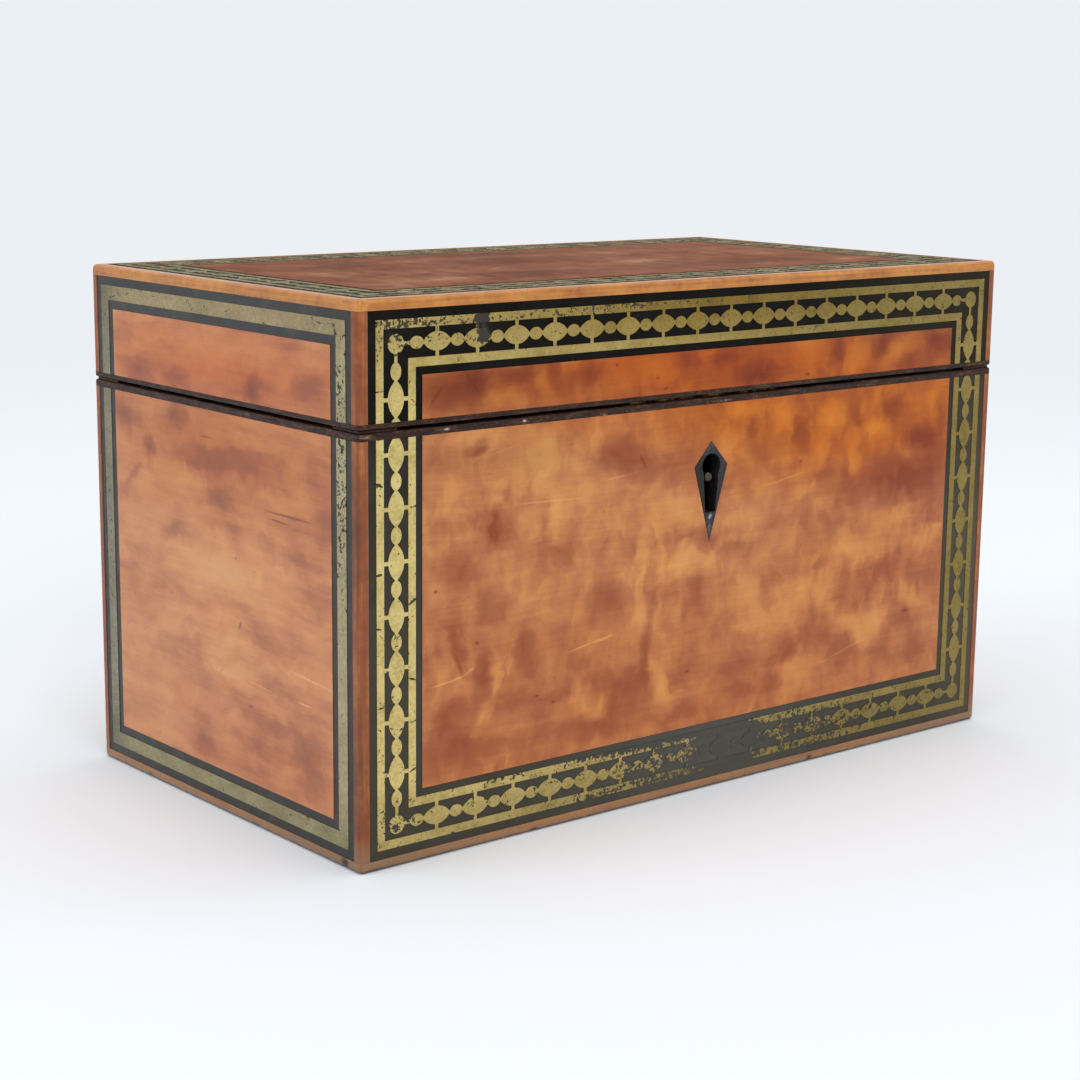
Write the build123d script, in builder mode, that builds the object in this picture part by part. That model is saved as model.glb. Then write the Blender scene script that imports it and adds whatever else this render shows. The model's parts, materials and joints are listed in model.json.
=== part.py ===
from build123d import *
import os

# A two-division tea caddy: a veneered box with a hinged lid, two foil-lined compartments
# with lift-out covers, and a link-plate lock behind a kite escutcheon.
# Millimetres. +Z is up, the front faces -Y, and the origin is the middle of the underside.

os.makedirs("parts", exist_ok=True)

# Overall size, over the veneers
WIDTH = 229.0
DEPTH = 127.0
HEIGHT = 140.0
LID_HIGH = 31.2  # from the top down to the hinge pins, in the middle of the joint
RIM_GAP = 0.8  # how far the joint between base and lid stands open

# Carcass boards
BOARD = 9.0
FLOOR_BOARD = 6.0
TOP_BOARD = 6.0
PARTITION = 5.0

# Veneer, stringing on the outer edges, and the black facings on the two rims
VENEER = 1.0
GILT = 0.15
EDGE = 2.8
EDGE_ROUND = 1.3
BASE_RIM = 1.8
LID_RIM = 1.4
RIM_ROUND = 0.5
GLUE = 0.05

# Bead border of the front and the top, from the stringing inwards
BEAD_BLACK_OUT = 2.3
BEAD_LINE = 2.2
BEAD_FIELD = 7.2
BEAD_BLACK_IN = 2.0
BEAD_PITCH = 12.5
BIG_LONG = 8.7
BIG_WIDE = 4.7
SMALL_LONG = 4.1
SMALL_WIDE = 3.1
NECK = 0.9
TIE = 1.0

# Plain border of the ends and the back, from the stringing inwards
PLAIN_BLACK_OUT = 2.4
PLAIN_LINE = 3.9
PLAIN_BLACK_IN = 2.4

# Compartments
LINER = 2.5
FOIL = 0.4
COVER = 5.0
COVER_DROP = 2.4  # how far the covers lie below the rim
COVER_FIT = 0.4
COVER_CHAMFER = 0.6
SLIP = 0.05  # easy fit of liners, inlays, screws and tenons
LID_LINING = 0.8

# Turned knobs of the covers
KNOB_HIGH = 10.0
KNOB_R = 4.4
KNOB_FOOT_R = 4.0
KNOB_FOOT = 0.8  # height of the knob's foot
KNOB_NECK_R = 2.0
KNOB_NECK_UP = 2.0  # where the neck starts above the cover
KNOB_TENON_R = 1.8

# Kite escutcheon and keyhole
KITE_DROP = 18.8  # from the hinge pins' height down to the kite's widest line
KITE_WIDE = 11.9
KITE_ABOVE = 6.6
KITE_BELOW = 20.3
KITE_PROUD = 0.15
KEY_EYE_R = 3.3
KEY_SHOULDER = 5.8  # width of the slot where it leaves the eye
KEY_ABOVE_FOOT = 7.7  # from the kite's lower point up to the slot's foot
KEY_WEB = 0.4  # what is left of the kite beside the slot's foot
KEY_ROOM = 0.3  # how much wider the hole is behind the escutcheon
DRILL_PIN_DROP = 3.2  # from the eye's middle down to the drill pin
DRILL_PIN_R = 1.25
DRILL_PIN_BACK = 0.6  # the pin's end stands this far behind the front
DRILL_PIN_EASE = 0.3

# Lock
LOCK_WIDE = 54.0
LOCK_UNDER_PIN = 13.8  # from the drill pin down to the plate's lower edge
LOCK_PLATE = 1.2
SELVAGE = 1.5
SELVAGE_DEEP = 7.5
PLATE_GAP = 0.1  # between the lock's selvage and the lid's link plate
CAP_WIDE = 44.4
CAP_UP = 2.0  # from the plate's lower edge up to the cap's
CAP_DEEP = 5.8
CAP_WALL = 0.7
LOCK_ROOM = 0.15
BOLT_THROW = 4.0
BOLT = 1.8
BOLT_OFF_PLATE = 1.7
BOLT_OVER_PIN = 5.7  # from the drill pin up to the bolt's lower edge
BOLT_HIGH = 6.0
BOLT_RISER = 2.0
BOLT_RUN = 0.15  # running clearance of the bolt
TALON_WIDE = 4.0
TALON_DEEP = 2.2
STUD_R = 1.2
STUD_COLLAR_R = 2.1
STUDS_AT = (-12.0, 10.0)
SPRING = 0.5
SPRING_WIDE = 3.5
SPRING_INS = (3.7, 5.2, 11.0)  # from the cap's edge in to the spring's foot, bow and tip
SPRING_UP = 3.0  # how far the foot, and the bow's middle, are raised
SPRING_PLAY = 0.2

# Link plate
STAPLE_AT = 13.0
STAPLE = 2.2
STAPLE_WIDE = 4.0
STAPLE_OVER_BOLT = 1.35
STAPLE_WALL = 0.8
STAPLE_FOOT = 1.5
STAPLE_ROOM = 0.6
EYE_HIGH = 2.8
FINGER_ROOM = 0.6

# Butt hinges
HINGE_AT = 72.0
HINGE_LONG = 38.0
LEAF_WIDE = 8.5
LEAF = 1.4
LEAF_GAP = 0.2
KNUCKLES = 5
KNUCKLE_R = 1.9
KNUCKLE_GAP = 0.15
KNUCKLE_ROOM = 0.25
PIN_R = 0.9
PIN_FIT = 0.05
HINGE_SCREW_IN = 5.4  # from the pin to the row of screws
HINGE_SCREW_STEP = 12.0

# Screws
SCREW_HEAD_R = 1.7
SCREW_SHANK_R = 0.85
SCREW_LONG = 7.0
SCREW_POINT = 1.5
SCREW_SLOT = 0.5
LOCK_SCREW_IN = 2.4  # from the plates' ends to their screws
LOCK_SCREW_UPS = (6.0, 24.0)  # from the plate's lower edge up to its screws

# Levels and half sizes that follow from them
HALF_X = WIDTH / 2
HALF_Y = DEPTH / 2
CORE_X = HALF_X - VENEER
CORE_Y = HALF_Y - VENEER
IN_X = CORE_X - BOARD
IN_Y = CORE_Y - BOARD
SPLIT = HEIGHT - LID_HIGH
BASE_TOP = SPLIT - RIM_GAP / 2
BASE_WALL_TOP = BASE_TOP - BASE_RIM
LID_FOOT = SPLIT + RIM_GAP / 2
LID_WALL_FOOT = LID_FOOT + LID_RIM
TOP_UNDER = HEIGHT - VENEER - TOP_BOARD
BEAD_BORDER = EDGE + BEAD_BLACK_OUT + 2 * BEAD_LINE + BEAD_FIELD + BEAD_BLACK_IN
PLAIN_BORDER = EDGE + PLAIN_BLACK_OUT + PLAIN_LINE + PLAIN_BLACK_IN
COVER_TOP = BASE_TOP - COVER_DROP
LEDGE = COVER_TOP - COVER

KITE_MIDDLE = SPLIT - KITE_DROP
KITE_FOOT = KITE_MIDDLE - KITE_BELOW
KEY_FOOT = KITE_FOOT + KEY_ABOVE_FOOT
KEY_SLOT = KITE_WIDE * KEY_ABOVE_FOOT / KITE_BELOW - 2 * KEY_WEB  # width of the slot at its foot
DRILL_PIN_Z = KITE_MIDDLE - DRILL_PIN_DROP

LOCK_LOW = DRILL_PIN_Z - LOCK_UNDER_PIN
CAP_LOW = LOCK_LOW + CAP_UP
SELVAGE_TOP = SPLIT - PLATE_GAP / 2
SELVAGE_UNDER = SELVAGE_TOP - SELVAGE
LINK_FOOT = SPLIT + PLATE_GAP / 2
PLATE_Y = -IN_Y - LOCK_PLATE  # the lock plate's front face
CAP_Y = PLATE_Y - CAP_DEEP
BOLT_Y = PLATE_Y - BOLT_OFF_PLATE  # the bolt's back face
STAPLE_Y = BOLT_Y - BOLT / 2
BOLT_LOW = DRILL_PIN_Z + BOLT_OVER_PIN
BOLT_TOP = BOLT_LOW + BOLT_HIGH
STAPLE_LOW = BOLT_TOP + STAPLE_OVER_BOLT
EYE_LOW = STAPLE_LOW + STAPLE_FOOT
FINGER_LOW = EYE_LOW + FINGER_ROOM
FINGER_HIGH = EYE_HIGH - 2 * FINGER_ROOM

BASE_LEAF_TOP = SPLIT - LEAF_GAP / 2
LID_LEAF_FOOT = SPLIT + LEAF_GAP / 2
KNUCKLE_LONG = HINGE_LONG / KNUCKLES

ON_TOP = (Align.CENTER, Align.CENTER, Align.MIN)
HANGING = (Align.CENTER, Align.CENTER, Align.MAX)


# Helpers: figures on a face, and layers of veneer on the sides of the box


def side_plane(side, deep):
    """The plane of one side of the box, sunk by deep, with Z as its second direction."""
    out = {"front": (0, -1, 0), "back": (0, 1, 0), "left": (-1, 0, 0), "right": (1, 0, 0)}[side]
    along = {"front": (1, 0, 0), "back": (-1, 0, 0), "left": (0, -1, 0), "right": (0, 1, 0)}[side]
    origin = (out[0] * (HALF_X - deep), out[1] * (HALF_Y - deep), 0)
    return Plane(origin=origin, x_dir=along, z_dir=out)


def panel_figure(length, height, border):
    """The veneer panel inside a border."""
    with BuildSketch() as figure:
        Rectangle(length - 2 * border, height - 2 * border)
    return figure.sketch


def band_figure(length, height, inset, band, glue=0.0):
    """A band round a face. With a glue line, it is four mitred strips."""
    long, high = length - 2 * inset, height - 2 * inset
    with BuildSketch() as figure:
        Rectangle(long, high)
        Rectangle(long - 2 * band, high - 2 * band, mode=Mode.SUBTRACT)
        if glue > 0:
            for sx, sy in ((1, 1), (1, -1), (-1, 1), (-1, -1)):
                corner = (sx * (long - band) / 2, sy * (high - band) / 2, 0)
                with Locations(Location(corner, (0, 0, 45 * sx * sy))):
                    Rectangle(2 * band, glue, mode=Mode.SUBTRACT)
    return figure.sketch


def big_bead(stretch):
    """A pointed oval between two arcs."""
    tip, side = stretch * BIG_LONG / 2, BIG_WIDE / 2
    with BuildSketch() as figure:
        with BuildLine():
            ThreePointArc((-tip, 0), (0, side), (tip, 0))
            ThreePointArc((tip, 0), (0, -side), (-tip, 0))
        make_face()
    return figure.sketch


def bead_chain(length):
    """Big and small beads in turn on a neck, from one corner bead to the next."""
    count = max(2, round(length / BEAD_PITCH))
    pitch = length / count
    stretch = pitch / BEAD_PITCH
    bead = big_bead(stretch)
    with BuildSketch() as figure:
        Rectangle(length, NECK)
        with GridLocations(pitch, 0, count - 1, 1):
            add(bead)
            Rectangle(TIE, BEAD_FIELD + BEAD_LINE)
        with GridLocations(pitch, 0, count, 1):
            Ellipse(stretch * SMALL_LONG / 2, SMALL_WIDE / 2)
    return figure.sketch


def bead_figure(length, height):
    """The whole bead border of a face: two lines, with a chain of beads between them."""
    outer = EDGE + BEAD_BLACK_OUT
    middle = outer + BEAD_LINE + BEAD_FIELD / 2
    long, high = length - 2 * middle, height - 2 * middle
    row, column = bead_chain(long), bead_chain(high)
    lines = [
        band_figure(length, height, outer, BEAD_LINE),
        band_figure(length, height, outer + BEAD_LINE + BEAD_FIELD, BEAD_LINE),
    ]
    with BuildSketch() as figure:
        add(lines)
        with Locations((0, high / 2), (0, -high / 2)):
            add(row)
        with Locations((long / 2, 0), (-long / 2, 0)):
            add(column, rotation=90)
        with GridLocations(long, high, 2, 2):
            Circle(BIG_WIDE / 2)
    return figure.sketch


def keep_heights(low, high):
    """Cut a figure on a side of the box down to what lies between two heights."""
    with Locations((0, (low + high) / 2)):
        Rectangle(2 * WIDTH, high - low, mode=Mode.INTERSECT)


def lay_on_sides(sides, figure, deep, thick, low, high):
    """Lay a figure on sides of the box, inside the part that is being built."""
    for side in sides:
        with BuildSketch(side_plane(side, deep)) as layer:
            with Locations((0, HEIGHT / 2)):
                add(figure)
            keep_heights(low, high)
        extrude(layer.sketch, amount=thick)


def lay_on_top(figure, deep, thick):
    """Lay a figure on the lid's top, inside the part that is being built."""
    with BuildSketch(Plane.XY.offset(HEIGHT - deep)) as layer:
        add(figure)
    extrude(layer.sketch, amount=thick)


def cut_block(low, high):
    """Cut a block out of the part that is being built, given its two far corners."""
    middle = tuple((a + b) / 2 for a, b in zip(low, high))
    with Locations(middle):
        Box(high[0] - low[0], high[1] - low[1], high[2] - low[2], mode=Mode.SUBTRACT)


# Places that more than one piece needs


def hinge_screw_places(level, tilt):
    """Where the screws of both hinges enter a leaf."""
    return [
        Location((hinge + step, HALF_Y - HINGE_SCREW_IN, level), (tilt, 0, 0))
        for hinge in (-HINGE_AT, HINGE_AT)
        for step in (-HINGE_SCREW_STEP, 0, HINGE_SCREW_STEP)
    ]


def plate_screw_places(level, tilt):
    """Where screws enter the selvage of the lock, or the link plate."""
    x = LOCK_WIDE / 2 - LOCK_SCREW_IN
    y = -IN_Y - SELVAGE_DEEP / 2
    return [Location((side * x, y, level), (tilt, 0, 0)) for side in (-1, 1)]


BASE_HINGE_SCREWS = hinge_screw_places(BASE_LEAF_TOP, 0)
LID_HINGE_SCREWS = hinge_screw_places(LID_LEAF_FOOT, 180)
SELVAGE_SCREWS = plate_screw_places(SELVAGE_TOP, 0)
LINK_SCREWS = plate_screw_places(LINK_FOOT, 180)
LOCK_PLATE_SCREWS = [
    Location((side * (LOCK_WIDE / 2 - LOCK_SCREW_IN), -IN_Y, LOCK_LOW + up), (-90, 0, 0))
    for side in (-1, 1)
    for up in LOCK_SCREW_UPS
]


def drill_for_screws(places):
    """Drill the wood for screws, inside the part that is being built."""
    with Locations(*places):
        Hole(SCREW_SHANK_R + SLIP, depth=SCREW_LONG + SLIP)


def countersink_for_screws(places, thick):
    """Countersink a metal plate for screws, inside the part that is being built."""
    with Locations(*places):
        CounterSinkHole(
            SCREW_SHANK_R + SLIP, SCREW_HEAD_R + SLIP, depth=2 * thick, counter_sink_angle=90
        )


def cut_hinge_room(leaf_low, leaf_high):
    """Cut the bed of both hinges' leaves and the hollow round their knuckles."""
    for hinge in (-HINGE_AT, HINGE_AT):
        half = HINGE_LONG / 2 + SLIP
        cut_block(
            (hinge - half, HALF_Y - LEAF_WIDE - SLIP, leaf_low),
            (hinge + half, HALF_Y + VENEER, leaf_high),
        )
        cut_knuckle_room(hinge)


def cut_knuckle_room(hinge):
    """Cut the hollow round the knuckles of one hinge."""
    with Locations(Location((hinge, HALF_Y, SPLIT), (0, 90, 0))):
        Cylinder(KNUCKLE_R + KNUCKLE_ROOM, HINGE_LONG + 2 * SLIP, mode=Mode.SUBTRACT)


def cut_lock_room():
    """Cut the mortise for the lock's cap, and the beds of its plate and selvage."""
    half = LOCK_WIDE / 2 + SLIP
    cap_half = CAP_WIDE / 2 + LOCK_ROOM
    cut_block((-half, PLATE_Y, LOCK_LOW - SLIP), (half, -IN_Y, SPLIT))
    cut_block((-cap_half, CAP_Y - LOCK_ROOM, CAP_LOW - LOCK_ROOM), (cap_half, -IN_Y, SPLIT))
    cut_block((-half, -IN_Y - SELVAGE_DEEP - SLIP, SELVAGE_UNDER), (half, -IN_Y, SPLIT))


def keyhole_figure(grow=0.0):
    """The keyhole in the plane of the front: a round eye over a tapered slot."""
    shoulder, slot = KEY_SHOULDER / 2, KEY_SLOT / 2
    with BuildSketch() as figure:
        with Locations((0, KITE_MIDDLE)):
            Circle(KEY_EYE_R)
        with BuildLine():
            Polyline(
                (-shoulder, KITE_MIDDLE),
                (-slot, KEY_FOOT),
                (slot, KEY_FOOT),
                (shoulder, KITE_MIDDLE),
                close=True,
            )
        make_face()
        if grow > 0:
            offset(amount=grow)
    return figure.sketch


def kite_figure(grow=0.0):
    """The kite-shaped outline of the escutcheon."""
    with BuildSketch() as figure:
        with BuildLine():
            Polyline(
                (0, KITE_MIDDLE + KITE_ABOVE),
                (KITE_WIDE / 2, KITE_MIDDLE),
                (0, KITE_FOOT),
                (-KITE_WIDE / 2, KITE_MIDDLE),
                close=True,
            )
        make_face()
        if grow > 0:
            offset(amount=grow, kind=Kind.INTERSECTION)
    return figure.sketch


def write(name, builder):
    """Name a finished piece and write it."""
    builder.part.label = name
    export_step(builder.part, f"parts/{name}.step")


# The form that the stringing and the facings are cut to: the whole box, its arrises rounded
with BuildPart() as outer_form:
    Box(WIDTH, DEPTH, HEIGHT, align=ON_TOP)
    fillet(outer_form.edges(), EDGE_ROUND)

# One wood screw, its head's face at the origin, pointing down
with BuildPart() as screw:
    with BuildSketch(Plane.XZ):
        with BuildLine():
            Polyline(
                (0, 0),
                (SCREW_HEAD_R, 0),
                (SCREW_SHANK_R, SCREW_SHANK_R - SCREW_HEAD_R),
                (SCREW_SHANK_R, SCREW_POINT - SCREW_LONG),
                (0, -SCREW_LONG),
                close=True,
            )
        make_face()
    revolve(axis=Axis.Z)
    Box(3 * SCREW_HEAD_R, SCREW_SLOT, 2 * SCREW_SLOT, mode=Mode.SUBTRACT)


# Carcass of the base


def cut_corner_posts(low, high):
    """Rebate the four upright corners of the carcass for the stringing."""
    with BuildSketch(Plane.XY.offset(low)) as posts:
        with GridLocations(WIDTH - EDGE, DEPTH - EDGE, 2, 2):
            Rectangle(EDGE, EDGE)
    extrude(posts.sketch, amount=high - low, mode=Mode.SUBTRACT)


with BuildPart() as bottom_board:
    Box(WIDTH - 2 * EDGE, DEPTH - 2 * EDGE, EDGE, align=ON_TOP)
    with Locations((0, 0, EDGE)):
        Box(2 * CORE_X, 2 * CORE_Y, FLOOR_BOARD - EDGE, align=ON_TOP)
    cut_corner_posts(EDGE, FLOOR_BOARD)
write("bottom_board", bottom_board)


def long_board(side, low, high):
    """A front or back board of the carcass, in the part that is being built."""
    y = {"front": -1, "back": 1}[side] * (CORE_Y - BOARD / 2)
    with Locations((0, y, low)):
        Box(2 * CORE_X, BOARD, high - low, align=ON_TOP)
    cut_corner_posts(low, high)


def end_board(side, low, high):
    """An end board of the carcass, between the long boards."""
    x = {"left": -1, "right": 1}[side] * (CORE_X - BOARD / 2)
    with Locations((x, 0, low)):
        Box(BOARD, 2 * IN_Y, high - low, align=ON_TOP)


with BuildPart() as base_front_wall:
    long_board("front", FLOOR_BOARD, BASE_WALL_TOP)
    cut_lock_room()
    with BuildSketch(side_plane("front", 0)):
        add(keyhole_figure(KEY_ROOM))
    extrude(amount=-(VENEER + BOARD), mode=Mode.SUBTRACT)
    drill_for_screws(SELVAGE_SCREWS + LOCK_PLATE_SCREWS)
write("base_front_wall", base_front_wall)

with BuildPart() as base_back_wall:
    long_board("back", FLOOR_BOARD, BASE_WALL_TOP)
    cut_hinge_room(BASE_LEAF_TOP - LEAF, SPLIT)
    drill_for_screws(BASE_HINGE_SCREWS)
write("base_back_wall", base_back_wall)

for side in ("left", "right"):
    with BuildPart() as base_end_wall:
        end_board(side, FLOOR_BOARD, BASE_WALL_TOP)
    write(f"base_{side}_wall", base_end_wall)

with BuildPart() as partition:
    with Locations((0, 0, FLOOR_BOARD)):
        Box(PARTITION, 2 * IN_Y, COVER_TOP - FLOOR_BOARD, align=ON_TOP)
write("partition", partition)

# Carcass of the lid

with BuildPart() as lid_top_board:
    with Locations((0, 0, TOP_UNDER)):
        Box(2 * CORE_X, 2 * CORE_Y, HEIGHT - EDGE - TOP_UNDER, align=ON_TOP)
    with Locations((0, 0, HEIGHT - EDGE)):
        Box(WIDTH - 2 * EDGE, DEPTH - 2 * EDGE, EDGE - VENEER, align=ON_TOP)
    cut_corner_posts(TOP_UNDER, HEIGHT - EDGE)
write("lid_top_board", lid_top_board)

with BuildPart() as lid_front_wall:
    long_board("front", LID_WALL_FOOT, TOP_UNDER)
    drill_for_screws(LINK_SCREWS)
write("lid_front_wall", lid_front_wall)

with BuildPart() as lid_back_wall:
    long_board("back", LID_WALL_FOOT, TOP_UNDER)
    cut_hinge_room(SPLIT, LID_LEAF_FOOT + LEAF)
    drill_for_screws(LID_HINGE_SCREWS)
write("lid_back_wall", lid_back_wall)

for side in ("left", "right"):
    with BuildPart() as lid_end_wall:
        end_board(side, LID_WALL_FOOT, TOP_UNDER)
    write(f"lid_{side}_wall", lid_end_wall)

with BuildPart() as lid_lining:
    with Locations((0, 0, TOP_UNDER)):
        Box(2 * (IN_X - SLIP), 2 * (IN_Y - SLIP), LID_LINING, align=HANGING)
write("lid_lining", lid_lining)

# Veneer panels, black bandings and gilding, on the base and on the lid

BASE_LEVELS = (0, BASE_WALL_TOP)
LID_LEVELS = (LID_WALL_FOOT, HEIGHT)
BEAD_BAND = BEAD_BORDER - EDGE
PLAIN_BAND = PLAIN_BORDER - EDGE
PLAIN_GILT_AT = EDGE + PLAIN_BLACK_OUT

# For each group of sides: the panel, the black ground, and the gilding on it
FACES = {
    "front": (
        ("front",),
        panel_figure(WIDTH, HEIGHT, BEAD_BORDER),
        band_figure(WIDTH, HEIGHT, EDGE, BEAD_BAND, GLUE),
        bead_figure(WIDTH, HEIGHT),
    ),
    "back": (
        ("back",),
        panel_figure(WIDTH, HEIGHT, PLAIN_BORDER),
        band_figure(WIDTH, HEIGHT, EDGE, PLAIN_BAND, GLUE),
        band_figure(WIDTH, HEIGHT, PLAIN_GILT_AT, PLAIN_LINE),
    ),
    "end": (
        ("left", "right"),
        panel_figure(DEPTH, HEIGHT, PLAIN_BORDER),
        band_figure(DEPTH, HEIGHT, EDGE, PLAIN_BAND, GLUE),
        band_figure(DEPTH, HEIGHT, PLAIN_GILT_AT, PLAIN_LINE),
    ),
}
KITE_BED = kite_figure(SLIP)

for half, levels in (("base", BASE_LEVELS), ("lid", LID_LEVELS)):
    for face, (sides, panel, ground, gilding) in FACES.items():
        plural = "s" if face == "end" else ""

        with BuildPart() as veneer:
            lay_on_sides(sides, panel, VENEER, VENEER, *levels)
            if (half, face) == ("base", "front"):
                with BuildSketch(side_plane("front", VENEER)):
                    add(KITE_BED)
                extrude(amount=VENEER, mode=Mode.SUBTRACT)
            if face == "back":
                for hinge in (-HINGE_AT, HINGE_AT):
                    cut_knuckle_room(hinge)
        write(f"{half}_{face}_veneer{plural}", veneer)

        with BuildPart() as banding:
            lay_on_sides(sides, ground, VENEER, VENEER - GILT, *levels)
        write(f"{half}_{face}_banding{plural}", banding)

        with BuildPart() as gilt:
            lay_on_sides(sides, gilding, GILT, GILT, *levels)
        write(f"{half}_{face}_gilding{plural}", gilt)

with BuildPart() as lid_top_veneer:
    lay_on_top(panel_figure(WIDTH, DEPTH, BEAD_BORDER), VENEER, VENEER)
write("lid_top_veneer", lid_top_veneer)

with BuildPart() as lid_top_banding:
    lay_on_top(band_figure(WIDTH, DEPTH, EDGE, BEAD_BAND, GLUE), VENEER, VENEER - GILT)
write("lid_top_banding", lid_top_banding)

with BuildPart() as lid_top_gilding:
    lay_on_top(bead_figure(WIDTH, DEPTH), GILT, GILT)
write("lid_top_gilding", lid_top_gilding)

# Stringing on the outer edges: mitred rails, and a post at each corner

with BuildPart() as base_edge_stringing:
    with BuildSketch():
        add(band_figure(WIDTH, DEPTH, 0, EDGE, GLUE))
    extrude(amount=EDGE)
    with BuildSketch(Plane.XY.offset(EDGE + GLUE)):
        with GridLocations(WIDTH - EDGE, DEPTH - EDGE, 2, 2):
            Rectangle(EDGE, EDGE)
    extrude(amount=BASE_WALL_TOP - EDGE - GLUE)
    add(outer_form.part, mode=Mode.INTERSECT)
write("base_edge_stringing", base_edge_stringing)

with BuildPart() as lid_edge_stringing:
    with BuildSketch(Plane.XY.offset(HEIGHT - EDGE)):
        add(band_figure(WIDTH, DEPTH, 0, EDGE, GLUE))
    extrude(amount=EDGE)
    with BuildSketch(Plane.XY.offset(LID_WALL_FOOT)):
        with GridLocations(WIDTH - EDGE, DEPTH - EDGE, 2, 2):
            Rectangle(EDGE, EDGE)
    extrude(amount=HEIGHT - EDGE - GLUE - LID_WALL_FOOT)
    add(outer_form.part, mode=Mode.INTERSECT)
write("lid_edge_stringing", lid_edge_stringing)

# Black facings on the two rims: four mitred strips each, with the outer edge eased


def cut_mitres(low, high):
    """Part a ring over the walls into four strips."""
    band = VENEER + BOARD
    with BuildSketch(Plane.XY.offset(low)) as mitres:
        for sx, sy in ((1, 1), (1, -1), (-1, 1), (-1, -1)):
            corner = (sx * (HALF_X - band / 2), sy * (HALF_Y - band / 2), 0)
            with Locations(Location(corner, (0, 0, 45 * sx * sy))):
                Rectangle(2 * band, GLUE)
    extrude(mitres.sketch, amount=high - low, mode=Mode.SUBTRACT)


with BuildPart() as base_rim_facing:
    with BuildSketch(Plane.XY.offset(BASE_WALL_TOP)):
        add(band_figure(WIDTH, DEPTH, 0, VENEER + BOARD))
    extrude(amount=BASE_RIM)
    add(outer_form.part, mode=Mode.INTERSECT)
    rim_face = base_rim_facing.faces().sort_by(Axis.Z)[-1]
    fillet(rim_face.outer_wire().edges(), RIM_ROUND)
    cut_mitres(BASE_WALL_TOP, BASE_TOP)
    cut_hinge_room(BASE_LEAF_TOP - LEAF, SPLIT)
    cut_lock_room()
    drill_for_screws(SELVAGE_SCREWS + BASE_HINGE_SCREWS)
write("base_rim_facing", base_rim_facing)

with BuildPart() as lid_rim_facing:
    with BuildSketch(Plane.XY.offset(LID_FOOT)):
        add(band_figure(WIDTH, DEPTH, 0, VENEER + BOARD))
    extrude(amount=LID_RIM)
    add(outer_form.part, mode=Mode.INTERSECT)
    rim_face = lid_rim_facing.faces().sort_by(Axis.Z)[0]
    fillet(rim_face.outer_wire().edges(), RIM_ROUND)
    cut_mitres(LID_FOOT, LID_WALL_FOOT)
    cut_hinge_room(SPLIT, LID_LEAF_FOOT + LEAF)
    cut_block(
        (-LOCK_WIDE / 2 - SLIP, -IN_Y - SELVAGE_DEEP - SLIP, SPLIT),
        (LOCK_WIDE / 2 + SLIP, -IN_Y, LINK_FOOT + SELVAGE),
    )
    drill_for_screws(LINK_SCREWS + LID_HINGE_SCREWS)
write("lid_rim_facing", lid_rim_facing)

# Escutcheon, let into the front veneer

with BuildPart() as kite_escutcheon:
    with BuildSketch(side_plane("front", VENEER)):
        add(kite_figure())
        add(keyhole_figure(), mode=Mode.SUBTRACT)
    extrude(amount=VENEER + KITE_PROUD)
write("kite_escutcheon", kite_escutcheon)

# Compartments: liner boards, foil linings, lift-out covers and their knobs

ROOM_X = IN_X - PARTITION / 2  # width of one compartment between partition and end wall
ROOM_AT = (IN_X + PARTITION / 2) / 2

with BuildPart() as knob:
    with BuildSketch(Plane.XZ):
        with BuildLine():
            Polyline(
                (0, KNOB_HIGH - 2 * KNOB_R),
                (0, -COVER),
                (KNOB_TENON_R, -COVER),
                (KNOB_TENON_R, 0),
                (KNOB_FOOT_R, 0),
                (KNOB_FOOT_R, KNOB_FOOT),
                (KNOB_NECK_R, KNOB_NECK_UP),
                (KNOB_NECK_R, KNOB_HIGH - KNOB_R),
                (0, KNOB_HIGH - KNOB_R),
                close=True,
            )
        make_face()
    revolve(axis=Axis.Z)
    with Locations((0, 0, KNOB_HIGH - KNOB_R)):
        Sphere(KNOB_R)

for name, side in (("left", -1), ("right", 1)):
    with BuildPart() as liner_boards:
        with BuildSketch(Plane.XY.offset(FLOOR_BOARD)):
            with Locations((side * ROOM_AT, 0)):
                add(band_figure(ROOM_X, 2 * IN_Y, SLIP, LINER, GLUE))
        extrude(amount=LEDGE - FLOOR_BOARD)
    write(f"{name}_liner_boards", liner_boards)

    with BuildPart() as foil_lining:
        inset = LINER + 2 * SLIP
        with Locations((side * ROOM_AT, 0, FLOOR_BOARD)):
            Box(ROOM_X - 2 * inset, 2 * IN_Y - 2 * inset, LEDGE - FLOOR_BOARD, align=ON_TOP)
        hollow = inset + FOIL
        with Locations((side * ROOM_AT, 0, FLOOR_BOARD + FOIL)):
            Box(
                ROOM_X - 2 * hollow,
                2 * IN_Y - 2 * hollow,
                LEDGE - FLOOR_BOARD,
                align=ON_TOP,
                mode=Mode.SUBTRACT,
            )
    write(f"{name}_foil_lining", foil_lining)

    with BuildPart() as cover:
        with Locations((side * ROOM_AT, 0, LEDGE)):
            Box(ROOM_X - 2 * COVER_FIT, 2 * IN_Y - 2 * COVER_FIT, COVER, align=ON_TOP)
        chamfer(cover.faces().sort_by(Axis.Z)[-1].edges(), COVER_CHAMFER)
        with Locations((side * ROOM_AT, 0, COVER_TOP)):
            Hole(KNOB_TENON_R + SLIP)
    write(f"{name}_cover", cover)

    with BuildPart() as cover_knob:
        with Locations((side * ROOM_AT, 0, COVER_TOP)):
            add(knob.part)
    write(f"{name}_cover_knob", cover_knob)

# Lock, let into the front wall from inside: plate with selvage and studs

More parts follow.
